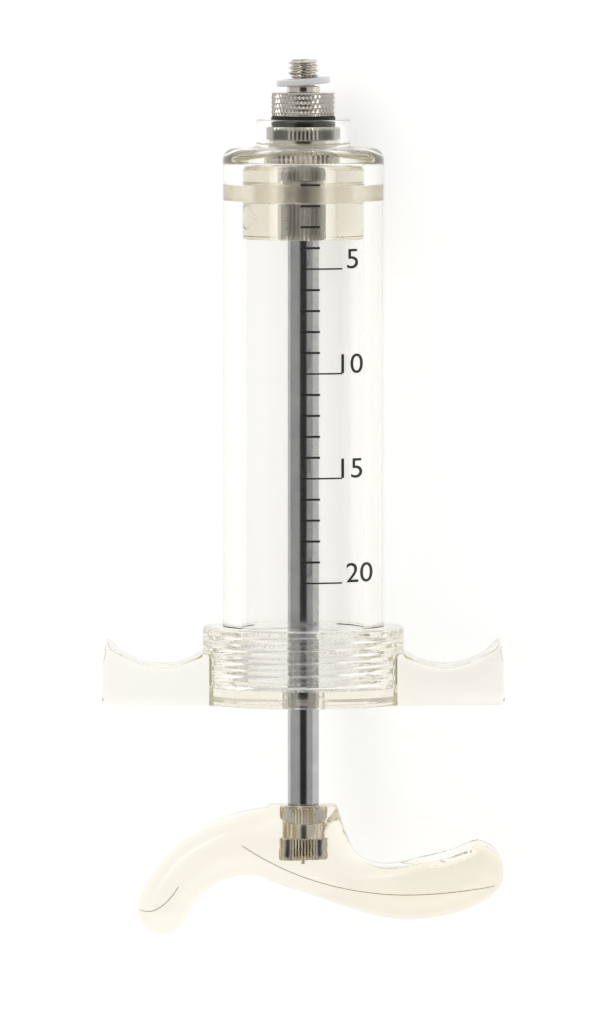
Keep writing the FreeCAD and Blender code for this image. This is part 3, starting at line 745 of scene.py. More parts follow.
@dataclass
class Barrel:
    """The clear tube with its thread, its printed scale and the bush moulded into its boss."""

    outer: float = 12.8
    bore: float = 9.8
    depth: float = 83.5
    end_wall: float = 2.2
    boss: float = 7.5
    boss_top: float = 6.7
    shoulder_round: float = 2.0
    bore_end_round: float = 0.6
    mouth_round: float = 0.3
    boss_foot_round: float = 0.8
    boss_round: float = 0.35
    counterbore_round: float = 0.15
    insert: float = 5.9
    insert_top: float = 5.6
    insert_chamfer: float = 0.3
    insert_teeth: int = 56
    insert_tooth_depth: float = 0.28
    insert_waist: float = 5.45
    waist_foot: float = 2.0
    waist_top: float = 3.5
    waist_bevel: float = 0.1
    counterbore: float = 5.2
    screw_hole: float = 2.5
    air_film: float = 0.03
    thread_length: float = 9.5
    thread_depth: float = 0.55
    thread_pitch: float = 2.0
    thread_fade: float = 0.7
    thread_flank: float = 0.5
    # The relief works this close to the outer skin, and the rows for it go this far past the thread.
    thread_skin: float = 0.4
    thread_rows_past: float = 0.5
    row: float = 0.16
    facets: int = 256

    def thread(self) -> Thread:
        """The outside thread at the open end, of a soft and rounded form.

        Returns:
            The thread, which the finger ring takes its own from.
        """
        return Thread(
            self.outer - self.thread_depth,
            self.outer,
            self.thread_pitch,
            -self.depth,
            -self.depth + self.thread_length,
            self.thread_fade,
            self.thread_flank,
        )

    def build(self) -> None:
        """Builds the tube and the bush."""
        seat = self.insert + self.air_film
        corners = [
            (self.counterbore, self.insert_top + self.air_film, 0.0),
            (seat, self.insert_top + self.air_film, 0.0),
            (seat, 0.0, 0.0),
            (self.bore, 0.0, self.bore_end_round),
            (self.bore, -self.depth, self.mouth_round),
            (self.outer, -self.depth, self.mouth_round),
            (self.outer, self.end_wall, self.shoulder_round),
            (self.boss, self.end_wall, self.boss_foot_round),
            (self.boss, self.boss_top, self.boss_round),
            (self.counterbore, self.boss_top, self.counterbore_round),
        ]
        thread = self.thread()

        def relief(radii: np.ndarray, levels: np.ndarray, angles: np.ndarray) -> np.ndarray:
            """Cuts the thread into the tube's outside."""
            threaded = (levels < thread.high) & (radii > thread.crest - self.thread_skin)
            return np.where(threaded, np.minimum(radii, thread.radius(levels, angles)), radii)

        rows_to, rows_from = thread.high + self.thread_rows_past, self.bore + CLEAR
        outline = refine(soften(corners, True), self.row, True, level_to=rows_to, radius_from=rows_from)
        points, faces = lathe(outline, self.facets, True, relief)
        make_piece("barrel_tube", points, faces, BARREL_NYLON, Body.BARREL, "clear_nylon", "barrel")
        self.build_insert()
        PrintedScale(self.outer).build()

    def build_insert(self) -> None:
        """The bush: two knurled bands with a waist between them."""
        top, foot, chamfer, bevel = self.insert_top, 0.0, self.insert_chamfer, self.waist_bevel
        outline = [
            (self.screw_hole, foot),
            (self.insert - chamfer, foot),
            (self.insert, foot + chamfer),
            (self.insert, self.waist_foot - bevel),
            (self.insert_waist, self.waist_foot + bevel),
            (self.insert_waist, self.waist_top - bevel),
            (self.insert, self.waist_top + bevel),
            (self.insert, top - chamfer),
            (self.insert - chamfer, top),
            (self.screw_hole, top),
        ]
        relief = straight_knurl(self.insert, self.insert_tooth_depth, self.insert_teeth)
        facets = self.insert_teeth * TOOTH_FACETS
        points, faces = lathe(refine(outline, KNURL_ROW, True), facets, True, relief)
        make_piece("nozzle_bush", points, faces, PLATED_BRASS, Body.BARREL, "plated_brass", "nozzle_insert")


@dataclass
class PrintedScale:
    """The black scale on the barrel's front: a tick at each millilitre, a number at each fifth."""

    radius: float
    step: float = 3.314
    count: int = 20
    each: int = 5
    ink: float = 0.03
    short_left: float = -0.44
    short_right: float = 2.65
    long_left: float = -0.3
    long_right: float = 6.15
    short_thick: float = 0.34
    long_thick: float = 0.25
    bar_parts: int = 12
    digit_height: float = 3.1
    digit_left: tuple[float, ...] = (6.9, 6.0, 6.0, 6.8)
    # Each number is cut into strips before it is bent, in the typeface's own units.
    number_wide: float = 2.0
    strip: float = 0.06
    weld: float = 1e-5

    def build(self) -> None:
        """Builds all ticks as one piece of ink and the numbers as another."""
        ticks: list[Mesh] = []
        for n in range(1, self.count + 1):
            is_long = n % self.each == 0
            left = self.long_left if is_long else self.short_left
            right = self.long_right if is_long else self.short_right
            thick = self.long_thick if is_long else self.short_thick
            ticks.append(self.patch(left, right, -n * self.step, thick))
        self.join("scale_ticks", ticks)
        self.numbers()

    def patch(self, left: float, right: float, level: float, thick: float) -> Mesh:
        """A thin curved bar of ink across the front.

        Args:
            left: Where it starts, across from the scale's middle.
            right: Where it ends.
            level: Its level along the axis.
            thick: How thick the line is.

        Returns:
            Points and faces.
        """
        parts = self.bar_parts
        low, high = math.asin(left / self.radius), math.asin(right / self.radius)
        rows = []
        for k in range(parts + 1):
            angle = low + (high - low) * k / parts
            for radius in (self.radius - self.ink, self.radius + self.ink):
                for side in (-0.5, 0.5):
                    place = (radius * math.sin(angle), -radius * math.cos(angle), level + side * thick)
                    rows.append(place)
        faces: Faces = [[0, 1, 3, 2]]
        for k in range(parts):
            a, b = 4 * k, 4 * k + 4
            faces += [[a, a + 1, b + 1, b], [a + 2, b + 2, b + 3, a + 3], [a, b, b + 2, a + 2]]
            faces += [[a + 1, a + 3, b + 3, b + 1]]
        last = 4 * parts
        faces.append([last, last + 2, last + 3, last + 1])
        return np.array(rows), faces

    def join(self, name: str, parts: list[Mesh]) -> None:
        """Makes one piece of several.

        Args:
            name: The piece's name.
            parts: Points and faces of each part.
        """
        points: list[np.ndarray] = []
        faces: Faces = []
        total = 0
        for spots, sides in parts:
            points.append(spots)
            faces += [[n + total for n in side] for side in sides]
            total += len(spots)
        make_piece(name, np.concatenate(points), faces, BLACK_INK, Body.BARREL)

    def numbers(self) -> None:
        """Plain numbers in Blender's own typeface, bent round the barrel."""
        parts: list[Mesh] = []
        for n, left in enumerate(self.digit_left, start=1):
            curve = bpy.data.curves.new(f"number_{n * self.each}", "FONT")
            curve.body = str(n * self.each)
            curve.extrude = self.ink
            holder = bpy.data.objects.new(curve.name, curve)
            bpy.context.scene.collection.objects.link(holder)
            bpy.context.view_layer.update()
            graph = bpy.context.evaluated_depsgraph_get()
            mesh = bpy.data.meshes.new_from_object(holder.evaluated_get(graph))
            shell = bmesh.new()
            shell.from_mesh(mesh)
            bmesh.ops.remove_doubles(shell, verts=shell.verts, dist=self.weld)
            for cut in np.arange(0.0, self.number_wide, self.strip):
                everything = shell.verts[:] + shell.edges[:] + shell.faces[:]
                bmesh.ops.bisect_plane(shell, geom=everything, plane_co=(cut, 0, 0), plane_no=(1, 0, 0))
            shell.to_mesh(mesh)
            shell.free()
            spots = np.array([v.co for v in mesh.vertices])
            low, high = spots.min(0), spots.max(0)
            scale = self.digit_height / (high[1] - low[1])
            across = left + (spots[:, 0] - low[0]) * scale
            level = -n * self.each * self.step + (spots[:, 1] - low[1]) * scale
            angle = np.arcsin(across / self.radius)
            radius = self.radius + spots[:, 2]
            bent = np.stack([radius * np.sin(angle), -radius * np.cos(angle), level], 1)
            parts.append((bent, [list(p.vertices) for p in mesh.polygons]))
            bpy.data.objects.remove(holder)
            bpy.data.meshes.remove(mesh)
        self.join("scale_numbers", parts)


@dataclass
class NozzleHead:
    """The screwed head: spigot, knurled collar, neck and threaded stud, with its gasket and loose washer."""

    gasket: float = 5.1
    gasket_hole: float = 2.5
    gasket_foot: float = 5.64
    gasket_gap: float = 0.01
    gasket_round: float = 0.2
    hole_round: float = 0.1
    collar_foot: float = 7.15
    collar: float = 5.1
    collar_top: float = 11.0
    collar_round: float = 0.3
    neck: float = 2.65
    neck_top: float = 11.95
    neck_foot_round: float = 0.1
    neck_round: float = 0.12
    groove: float = 1.85
    groove_top: float = 13.65
    groove_slope: float = 0.35
    groove_round: float = 0.15
    stud: float = 2.475
    stud_top: float = 16.2
    stud_chamfer: float = 0.42
    stud_round: float = 0.1
    bore: float = 1.0
    bore_round: float = 0.15
    spigot: float = 2.45
    spigot_end: float = 1.2
    spigot_round: float = 0.2
    knurl_depth: float = 0.32
    knurl_teeth: int = 44
    knurl_lean: float = 25.0
    pitch: float = 0.8
    thread_depth: float = 0.46
    # Where the threads start and end beyond their own stretch, and how soon they fade.
    stud_run_in: float = 0.4
    stud_run_out: float = 0.5
    stud_fade: float = 0.2
    spigot_run_in: float = 0.6
    spigot_fade: float = 0.4
    # Rows for the reliefs: along the spigot, along the collar and along the stud.
    spigot_row: float = 0.3
    collar_row: float = 0.1
    stud_row: float = 0.07
    facets_per_tooth: int = 10
    ring_facets: int = 128
    washer: float = 4.25
    washer_thick: float = 1.0
    washer_round: float = 0.25
    washer_gap: float = 0.15
    washer_tilt: float = 4.5

    def build(self) -> None:
        """Builds the gasket, the head and the washer."""
        ring = [
            (self.gasket_hole, self.gasket_foot, self.hole_round),
            (self.gasket, self.gasket_foot, self.gasket_round),
            (self.gasket, self.collar_foot - self.gasket_gap, self.gasket_round),
            (self.gasket_hole, self.collar_foot - self.gasket_gap, self.hole_round),
        ]
        points, faces = lathe(soften(ring, True), self.ring_facets, True)
        make_piece("nozzle_gasket_ring", points, faces, BLACK_RUBBER, Body.GASKET, "black_rubber",
                   "nozzle_gasket")
        self.build_head()
        self.build_washer()

    def build_head(self) -> None:
        """One turned piece, finely divided where it is knurled or threaded."""
        corners = [
            (self.bore, self.spigot_end, 0.0),
            (self.spigot, self.spigot_end, self.spigot_round),
            (self.spigot, self.collar_foot, 0.0),
            (self.collar, self.collar_foot, self.collar_round),
            (self.collar, self.collar_top, self.collar_round),
            (self.neck, self.collar_top, self.neck_foot_round),
            (self.neck, self.neck_top, self.neck_round),
            (self.groove, self.neck_top, self.groove_round),
            (self.groove, self.groove_top - self.groove_slope, self.groove_round),
            (self.stud, self.groove_top, 0.0),
            (self.stud, self.stud_top - self.stud_chamfer, self.stud_round),
            (self.stud - self.stud_chamfer, self.stud_top, self.stud_round),
            (self.bore, self.stud_top, self.bore_round),
        ]
        knurl = diamond_knurl(self.collar, self.knurl_depth, self.knurl_teeth, self.knurl_lean)
        stud_low, stud_high = self.groove_top - self.stud_run_in, self.stud_top + self.stud_run_out
        stud_root = self.stud - self.thread_depth
        stud = Thread(stud_root, self.stud, self.pitch, stud_low, stud_high, self.stud_fade)
        root, foot = self.spigot - self.thread_depth, self.spigot_end - self.spigot_run_in
        spigot = Thread(root, self.spigot, self.pitch, foot, self.collar_foot, self.spigot_fade)

        def relief(radii: np.ndarray, levels: np.ndarray, angles: np.ndarray) -> np.ndarray:
            """Cuts the knurl and both threads."""
            radii = knurl(radii, levels, angles)
            on_stud = (levels > self.groove_top - self.stud_run_in / 2) & (radii > stud.root)
            radii = np.where(on_stud, np.minimum(radii, stud.radius(levels, angles)), radii)
            on_spigot = (levels < self.collar_foot) & (radii > spigot.root) & (radii < self.spigot + SKIN)
            return np.where(on_spigot, np.minimum(radii, spigot.radius(levels, angles)), radii)

        rows_from = self.bore + CLEAR
        outline = refine(soften(corners, True), self.spigot_row, True, -FAR, self.collar_foot, rows_from)
        rows_from = self.neck + CLEAR
        outline = refine(outline, self.collar_row, True, self.collar_foot, self.collar_top, rows_from)
        outline = refine(outline, self.stud_row, True, self.groove_top, FAR, self.groove)
        points, faces = lathe(outline, self.knurl_teeth * self.facets_per_tooth, True, relief)
        make_piece("nozzle_head_turned", points, faces, PLATED_BRASS, Body.NOZZLE, "plated_brass",
                   "nozzle_head")

    def build_washer(self) -> None:
        """The washer, tilted as it hangs on the stud."""
        hole, half = self.stud + self.washer_gap, self.washer_thick / 2
        ring = [
            (hole, -half, self.hole_round),
            (self.washer, -half, self.washer_round),
            (self.washer, half, self.washer_round),
            (hole, half, self.hole_round),
        ]
        points, faces = lathe(soften(ring, True), self.ring_facets, True)
        tilt = math.radians(self.washer_tilt)
        lift = self.neck_top + self.neck * math.sin(tilt) + half * math.cos(tilt)
        turned = np.array(Matrix.Rotation(-tilt, 3, "Y"))
        points = points @ turned.T + np.array([0, 0, lift])
        make_piece("nozzle_washer_ring", points, faces, WHITE_NYLON, Body.NOZZLE, "white_nylon",
                   "nozzle_washer")


@dataclass
class Plunger:
    """Piston, seal, hub and rod."""

    piston: float = 9.6
    front: float = -0.3
    front_round: float = 1.2
    rear: float = -12.2
    rear_round: float = 0.4
    edge_round: float = 0.15
    small_round: float = 0.1
    piston_facets: int = 384
    seal_front: float = -3.5
    seal_rear: float = -6.35
    # The seal's rim reaches just past the bore's wall, as squeezed rubber touches it all round.
    seal: float = 9.81
    seal_round: float = 0.2
    seal_gap: float = 0.01
    seal_seat_gap: float = 0.03
    seal_facets: int = 192
    groove: float = 8.0
    hub: float = 3.6
    hub_front: float = -1.0
    hub_proud: float = 0.02
    hub_chamfer: float = 0.2
    hub_teeth: int = 44
    hub_tooth_depth: float = 0.15
    hub_waist: float = 3.25
    waist_front: float = -2.9
    waist_rear: float = -6.5
    waist_bevel: float = 0.1
    air_film: float = 0.03
    mark: float = 1.75
    mark_width: float = 0.22
    mark_depth: float = 0.09
    mark_level: float = -8.6
    mark_angle: float = 213.0
    mark_row: float = 0.12
    mark_clear: float = 1.0
    rod: float = 2.5
    rod_end: float = -102.25
    rod_in_hub: float = 1.0
    rod_gap: float = 0.02
    rod_row: float = 4.0
    rod_facets: int = 128

    def build(self) -> None:
        """Builds the amber piston round its hub, the seal in its groove, and the rod."""
        seat = self.hub + self.air_film
        body = [
            (0.0, self.front, 0.0),
            (self.piston, self.front, self.front_round),
            (self.piston, self.seal_front, self.edge_round),
            (self.groove, self.seal_front, self.small_round),
            (self.groove, self.seal_rear, self.small_round),
            (self.piston, self.seal_rear, self.edge_round),
            (self.piston, self.rear, self.rear_round),
            (seat, self.rear, self.small_round),
            (seat, self.hub_front + self.air_film, 0.0),
            (0.0, self.hub_front + self.air_film, 0.0),
        ]
        rows_from, skin = self.rear + self.mark_clear, self.piston - CLEAR
        outline = refine(soften(body, False), self.mark_row, False, rows_from, self.seal_rear, skin)
        points, faces = lathe(outline, self.piston_facets, False, self.mould_mark)
        make_piece("piston_body", points, faces, AMBER_NYLON, Body.PLUNGER, "amber_nylon", "piston")
        low, high = self.seal_rear + self.seal_gap, self.seal_front - self.seal_gap
        inside = self.groove + self.seal_seat_gap
        places = [(inside, low), (self.seal, low), (self.seal, high), (inside, high)]
        ring = [(radius, level, self.seal_round) for radius, level in places]
        points, faces = lathe(soften(ring, True), self.seal_facets, True)
        make_piece("piston_seal_ring", points, faces, BEIGE_RUBBER, Body.SEAL, "beige_rubber",
                   "piston_seal")
        self.build_hub()
        self.build_rod()

    def mould_mark(self, radii: np.ndarray, levels: np.ndarray, angles: np.ndarray) -> np.ndarray:
        """The fine round groove that the mould left on the piston's left side.

        Args:
            radii: The piston's radii.
            levels: Levels along the axis.
            angles: Angles round the axis.

        Returns:
            The radii with the groove cut in.
        """
        aside = (angles - math.radians(self.mark_angle) + math.pi) % (2 * math.pi) - math.pi
        away = np.hypot(aside * self.piston, levels - self.mark_level)
        groove = np.clip(1 - np.abs(away - self.mark) / self.mark_width, 0, 1)
        return np.where(radii > self.piston - SKIN, radii - self.mark_depth * groove, radii)

    def build_hub(self) -> None:
        """The knurled hub, closed at its front."""
        chamfer, bevel, end = self.hub_chamfer, self.waist_bevel, self.rear - self.hub_proud
        outline = [
            (0.0, self.hub_front),
            (self.hub - chamfer, self.hub_front),
            (self.hub, self.hub_front - chamfer),
            (self.hub, self.waist_front + bevel),
            (self.hub_waist, self.waist_front - bevel),
            (self.hub_waist, self.waist_rear + bevel),
            (self.hub, self.waist_rear - bevel),
            (self.hub, self.rear + chamfer),
            (self.hub - chamfer, end),
            (0.0, end),
        ]
        relief = straight_knurl(self.hub, self.hub_tooth_depth, self.hub_teeth)
        facets = self.hub_teeth * TOOTH_FACETS
        points, faces = lathe(refine(outline, KNURL_ROW, False), facets, False, relief)
        make_piece("piston_hub", points, faces, GREY_HUB, Body.PLUNGER, "steel", "piston_insert")

    def build_rod(self) -> None:
        """The polished rod between the hub and the handle."""
        start, end = self.rear + self.rod_in_hub, self.rod_end + self.rod_gap
        rod = [(0.0, start, 0.0), (self.rod, start, 0.0), (self.rod, end, self.edge_round), (0.0, end, 0.0)]
        points, faces = lathe(refine(soften(rod, False), self.rod_row, False), self.rod_facets, False)
        make_piece("plunger_rod_drawn", points, faces, DRAWN_STEEL, Body.PLUNGER, "steel", "plunger_rod")


@dataclass
class FingerRing:
    """The clear ring nut with a finger saddle on each side."""

    barrel: Barrel
    outer: float = 16.0
    bottom: float = -86.1
    top: float = -73.75
    rod_hole: float = 2.58
    thread_gap: float = 0.15
    reach: float = 32.0
    tip_reach: float = 31.5
    half_depth: float = 6.9
    tip_height: float = 11.0
    root_height: float = 8.2
    saddle: float = 10.8
    saddle_place: float = 22.44
    saddle_level: float = -69.23
    edge: float = 0.8
    nose: float = 1.2
    corner: float = 0.7
    ring_round: float = 0.6
    wing_fillet: float = 0.5
    mouth_chamfer: float = 0.5
    mouth_slope: float = 1.6
    cell: float = 0.27
    room: float = 1.0

    def field(self, points: np.ndarray) -> np.ndarray:
        """Distance from the ring's surface, negative inside the plastic.

        Args:
            points: Places in the syringe's own axes, one row each.

        Returns:
            The distance at each place.
        """
        x, y, z = points.T
        across, radius, angle = np.abs(x), np.hypot(x, y), np.arctan2(y, x)
        middle, half = (self.top + self.bottom) / 2, (self.top - self.bottom) / 2
        disc = rounded_join(radius - self.outer, np.abs(z - middle) - half, self.ring_round)
        slope = (self.reach - self.tip_reach) / self.tip_height
        side = across - (self.reach - slope * (z - self.bottom))
        ends = np.maximum(self.bottom - z, z - self.bottom - self.tip_height)
        flat = rounded_join(side, ends, self.corner)
        saddle = np.hypot(across - self.saddle_place, z - self.saddle_level) - self.saddle
        root = np.maximum(across - self.outer, self.bottom + self.root_height - z)
        outline = rounded_join(flat, -np.minimum(saddle, root), self.nose)
        wings = rounded_join(outline, np.abs(y) - self.half_depth, self.edge)
        thread = self.barrel.thread()
        bore = thread.radius(z, angle) + self.thread_gap
        bore += np.clip(z - self.top + self.mouth_chamfer, 0, self.mouth_chamfer) * self.mouth_slope
        hollow = np.maximum(radius - bore, -self.barrel.depth - z)
        hollow = np.minimum(hollow, radius - self.rod_hole)
        return np.maximum(melt(disc, wings, self.wing_fillet), -hollow)

    def build(self) -> None:
        wide, deep = self.reach + self.room, self.outer + self.room
        low, high = (-wide, -deep, self.bottom - self.room), (wide, deep, self.top + self.room)
        cell = self.cell * 1
        points, faces = FieldMesher(self.field, low, high, cell).surface()
        make_piece("finger_ring_moulded", points, faces, BARREL_NYLON, Body.RING, "clear_nylon",
                   "finger_ring")


@dataclass
class Handle:
    """The S-shaped amber grip with its thumb rest, palm hook and moulded-in bush."""

    top: float = -102.25
    height: float = 20.8
    left: float = 26.2
    right: float = 30.8
    thick: float = 8.5
    left_half: float = 6.5
    right_half: float = 8.0
    edge: float = 3.2
    crisp: float = 1.0
    draft: float = 0.07
    # How sharply neighbouring stretches of the arm blend.
    arm_blend: float = 5.0
    # The boss round the bush: its half width, and shares of it at four drops below the top.
    boss: float = 5.3
    boss_drops: tuple[float, ...] = (0.0, 4.2, 8.7, 11.6)
    boss_left: tuple[float, ...] = (1.0, 1.6, 2.0, 0.9)
    boss_right: tuple[float, ...] = (1.0, 1.26, 1.62, 2.1)
    boss_fillet: float = 1.2
    # The thumb rest's crisp edge begins at this x, and is whole after this run and this height off the spine.
    rest_from: float = 5.0
    rest_run: float = 12.0
    rest_rise: float = 2.0
    scoop_place: float = 19.0
    scoop_drop: float = 10.3
    scoop_along: float = 16.7
    scoop_across: float = 15.5
    scoop_sweep: float = 80.0
    bush: float = 3.8
    bush_length: float = 8.6
    bush_proud: float = 0.02
    bush_chamfer: float = 0.2
    bush_teeth: int = 44
    bush_tooth_depth: float = 0.25
    bush_waist: float = 3.4
    waist_top: float = 3.0
    waist_foot: float = 5.3
    waist_bevel: float = 0.1
    flange: float = 3.25
    flange_thick: float = 0.7
    pip: float = 0.25
    pip_length: float = 0.6
    ridge: float = 0.07
    ridge_sides: int = 6
    ridge_steps: int = 48
    cell: float = 0.3
    # The box that the grip is meshed in: its reach to the left and right, to front and back, up and down.
    box_left: float = 29.0
    box_right: float = 34.0
    box_deep: float = 10.0
    box_above: float = 1.0
    box_below: float = 24.0
    # Places (x and level) along the two visible stretches of the mould's parting line.
    partings: tuple[tuple[tuple[float, float], ...], ...] = (
        ((-26.0, -118.6), (-22.0, -117.6), (-19.8, -114.9)),
        ((-9.7, -108.4), (-3.9, -111.6), (4.9, -114.9), (18.3, -116.0), (30.4, -114.7)),
    )
    # Stations along the S: shares of the reach, of the height and of the thickness.
    stations: tuple[tuple[float, float, float], ...] = (
        (-0.855, 0.790, 0.93),
        (-0.788, 0.638, 0.95),
        (-0.651, 0.450, 0.99),
        (-0.443, 0.322, 1.04),
        (-0.214, 0.290, 1.20),
        (-0.057, 0.375, 1.16),
        (0.176, 0.545, 0.92),
        (0.378, 0.648, 0.85),
        (0.574, 0.655, 0.98),
        (0.762, 0.588, 1.06),
        (0.892, 0.505, 1.02),
    )

    def spine(self) -> tuple[np.ndarray, np.ndarray]:
        """Samples a smooth curve through the stations.

        Returns:
            Its points (x and level), and half the handle's thickness at each.
        """
        rows = []
        for reach, drop, thick in self.stations:
            x = reach * (self.right if reach > 0 else self.left)
            rows.append((x, self.top - drop * self.height, thick * self.thick / 2))
        known = np.array([rows[0], *rows, rows[-1]])
        samples = []
        between = 9
        for n in range(1, len(known) - 2):
            a, b, c, d = known[n - 1 : n + 3]
            bend, twist = 2 * a - 5 * b + 4 * c - d, 3 * b - a - 3 * c + d
            for t in np.linspace(0, 1, between)[:-1]:
                samples.append(0.5 * (2 * b + (c - a) * t + bend * t**2 + twist * t**3))
        samples.append(known[-1])
        curve = np.array(samples)
        return curve[:, :2], curve[:, 2]

    def field(self, points: np.ndarray) -> np.ndarray:
        """Distance from the handle's surface, negative inside the plastic.

        Args:
            points: Places in the syringe's own axes, one row each.

        Returns:
            The distance at each place.
        """
        x, y, z = points.T
        curve, half = self.spine()
        gaps = np.hypot(x[:, None] - curve[:, 0], z[:, None] - curve[:, 1]) - half
        least, nearest = gaps.min(1), gaps.argmin(1)
        arm = least - np.log(np.exp(-(gaps - least[:, None]) * self.arm_blend).sum(1)) / self.arm_blend
        drop = self.top - z
        left_side = self.boss * np.interp(drop, self.boss_drops, self.boss_left)
        right_side = self.boss * np.interp(drop, self.boss_drops, self.boss_right)
        ends = np.maximum(-drop, drop - self.boss_drops[-1])
        boss = np.maximum(np.maximum(x - right_side, -x - left_side), ends)
        outline = melt(arm, boss, self.boss_fillet)
        share = np.clip((x - self.rest_from) / self.rest_run, 0, 1)
        share = share * share * (3 - 2 * share)
        off_middle = z - curve[nearest, 1]
        upper = np.clip(off_middle / self.rest_rise, 0, 1) * share
        rounding = self.edge + (self.crisp - self.edge) * upper
        deep = self.left_half + (self.right_half - self.left_half) * share - self.draft * np.abs(off_middle)
        grip = rounded_join(outline, np.abs(y) - deep, rounding)
        return np.maximum(grip, -self.scooped(x, y, z))

    def scooped(self, x: np.ndarray, y: np.ndarray, z: np.ndarray) -> np.ndarray:
        """Distance from the hollow that is dished out of the thumb rest, negative inside the hollow.

        Args:
            x: Places across.
            y: Places from front to back.
            z: Levels.

        Returns:
            The distance at each place.
        """
        middle = self.top - self.scoop_drop + self.scoop_along
        from_middle = np.hypot(x - self.scoop_place, z - middle)
        dish = np.hypot(from_middle - self.scoop_along + self.scoop_across, y) - self.scoop_across
        aside = np.abs(np.arctan2(x - self.scoop_place, middle - z)) - math.radians(self.scoop_sweep) / 2
        return np.maximum(dish, aside * self.scoop_along)

    def front(self, x: np.ndarray, z: np.ndarray) -> np.ndarray:
        """Finds the grip's front surface by halving.

        Args:
            x: Places across.
            z: Levels, where the grip has plastic at y = 0.

        Returns:
            The surface's points, one row each.
        """
        halvings = 24
        outer, inner = np.full(len(x), -self.box_deep), np.zeros(len(x))
        for _ in range(halvings):
            middle = (outer + inner) / 2
            within = self.field(np.stack([x, middle, z], 1)) < 0
            inner, outer = np.where(within, middle, inner), np.where(within, outer, middle)
        return np.stack([x, inner, z], 1)

    def build_parting_line(self, name: str, stretch: tuple[tuple[float, float], ...]) -> None:
        """A fine ridge that the mould's joint left on the front of the grip.

        Args:
            name: The piece's name.
            stretch: Places (x and level) that it passes.
        """
        sides = self.ridge_sides
        turns = np.arange(sides) * 2 * math.pi / sides
        known = np.array(stretch)
        x = np.linspace(known[0, 0], known[-1, 0], self.ridge_steps)
        z = np.polyval(np.polyfit(known[:, 0], known[:, 1], min(len(known) - 1, 3)), x)
        centres = self.front(x, z)
        along = np.gradient(centres, axis=0)
        along /= np.linalg.norm(along, axis=1)[:, None]
        aside = np.cross(along, np.array([0.0, -1.0, 0.0]))
        forward = np.cross(aside, along)
        ring = aside[:, None] * np.cos(turns)[:, None] + forward[:, None] * np.sin(turns)[:, None]
        points = (centres[:, None] + self.ridge * ring).reshape(-1, 3)
        faces: Faces = [list(range(sides)), list(range(len(points) - sides, len(points)))]
        for k in range(len(x) - 1):
            for s in range(sides):
                a, b = k * sides + s, k * sides + (s + 1) % sides
                faces.append([a, b, b + sides, a + sides])
        make_piece(name, points, faces, FLASH_RIDGE, Body.PLUNGER, "amber_nylon")

    def build(self) -> None:
        low = (-self.box_left, -self.box_deep, self.top - self.box_below)
        high = (self.box_right, self.box_deep, self.top + self.box_above)
        cell = self.cell * 1
        points, faces = FieldMesher(self.field, low, high, cell).surface()
        make_piece("handle_grip", points, faces, AMBER_NYLON, Body.PLUNGER, "amber_nylon", "handle")
        for n, stretch in enumerate(self.partings, start=1):
            self.build_parting_line(f"handle_parting_line_{n}", stretch)
        self.build_bush()

    def build_bush(self) -> None:
        """The knurled bush, with its flange above and the cut-off pip under its blind end."""
        top, end, bevel = self.top + self.bush_proud, self.top - self.bush_length, self.waist_bevel
        waist_top, waist_foot = self.top - self.waist_top, self.top - self.waist_foot
        outline = [
            (0.0, top),
            (self.flange, top),
            (self.flange, self.top - self.flange_thick),
            (self.bush, self.top - self.flange_thick - bevel),
            (self.bush, waist_top + bevel),
            (self.bush_waist, waist_top - bevel),
            (self.bush_waist, waist_foot + bevel),
            (self.bush, waist_foot - bevel),
            (self.bush, end + self.bush_chamfer),
            (self.bush - self.bush_chamfer, end),
            (self.pip, end),
            (self.pip, end - self.pip_length),
            (0.0, end - self.pip_length),
        ]
        relief = straight_knurl(self.bush, self.bush_tooth_depth, self.bush_teeth)
        facets = self.bush_teeth * TOOTH_FACETS
        points, faces = lathe(refine(outline, KNURL_ROW, False), facets, False, relief)
        make_piece("handle_bush", points, faces, PLATED_BRASS, Body.PLUNGER, "plated_brass",
                   "handle_insert")


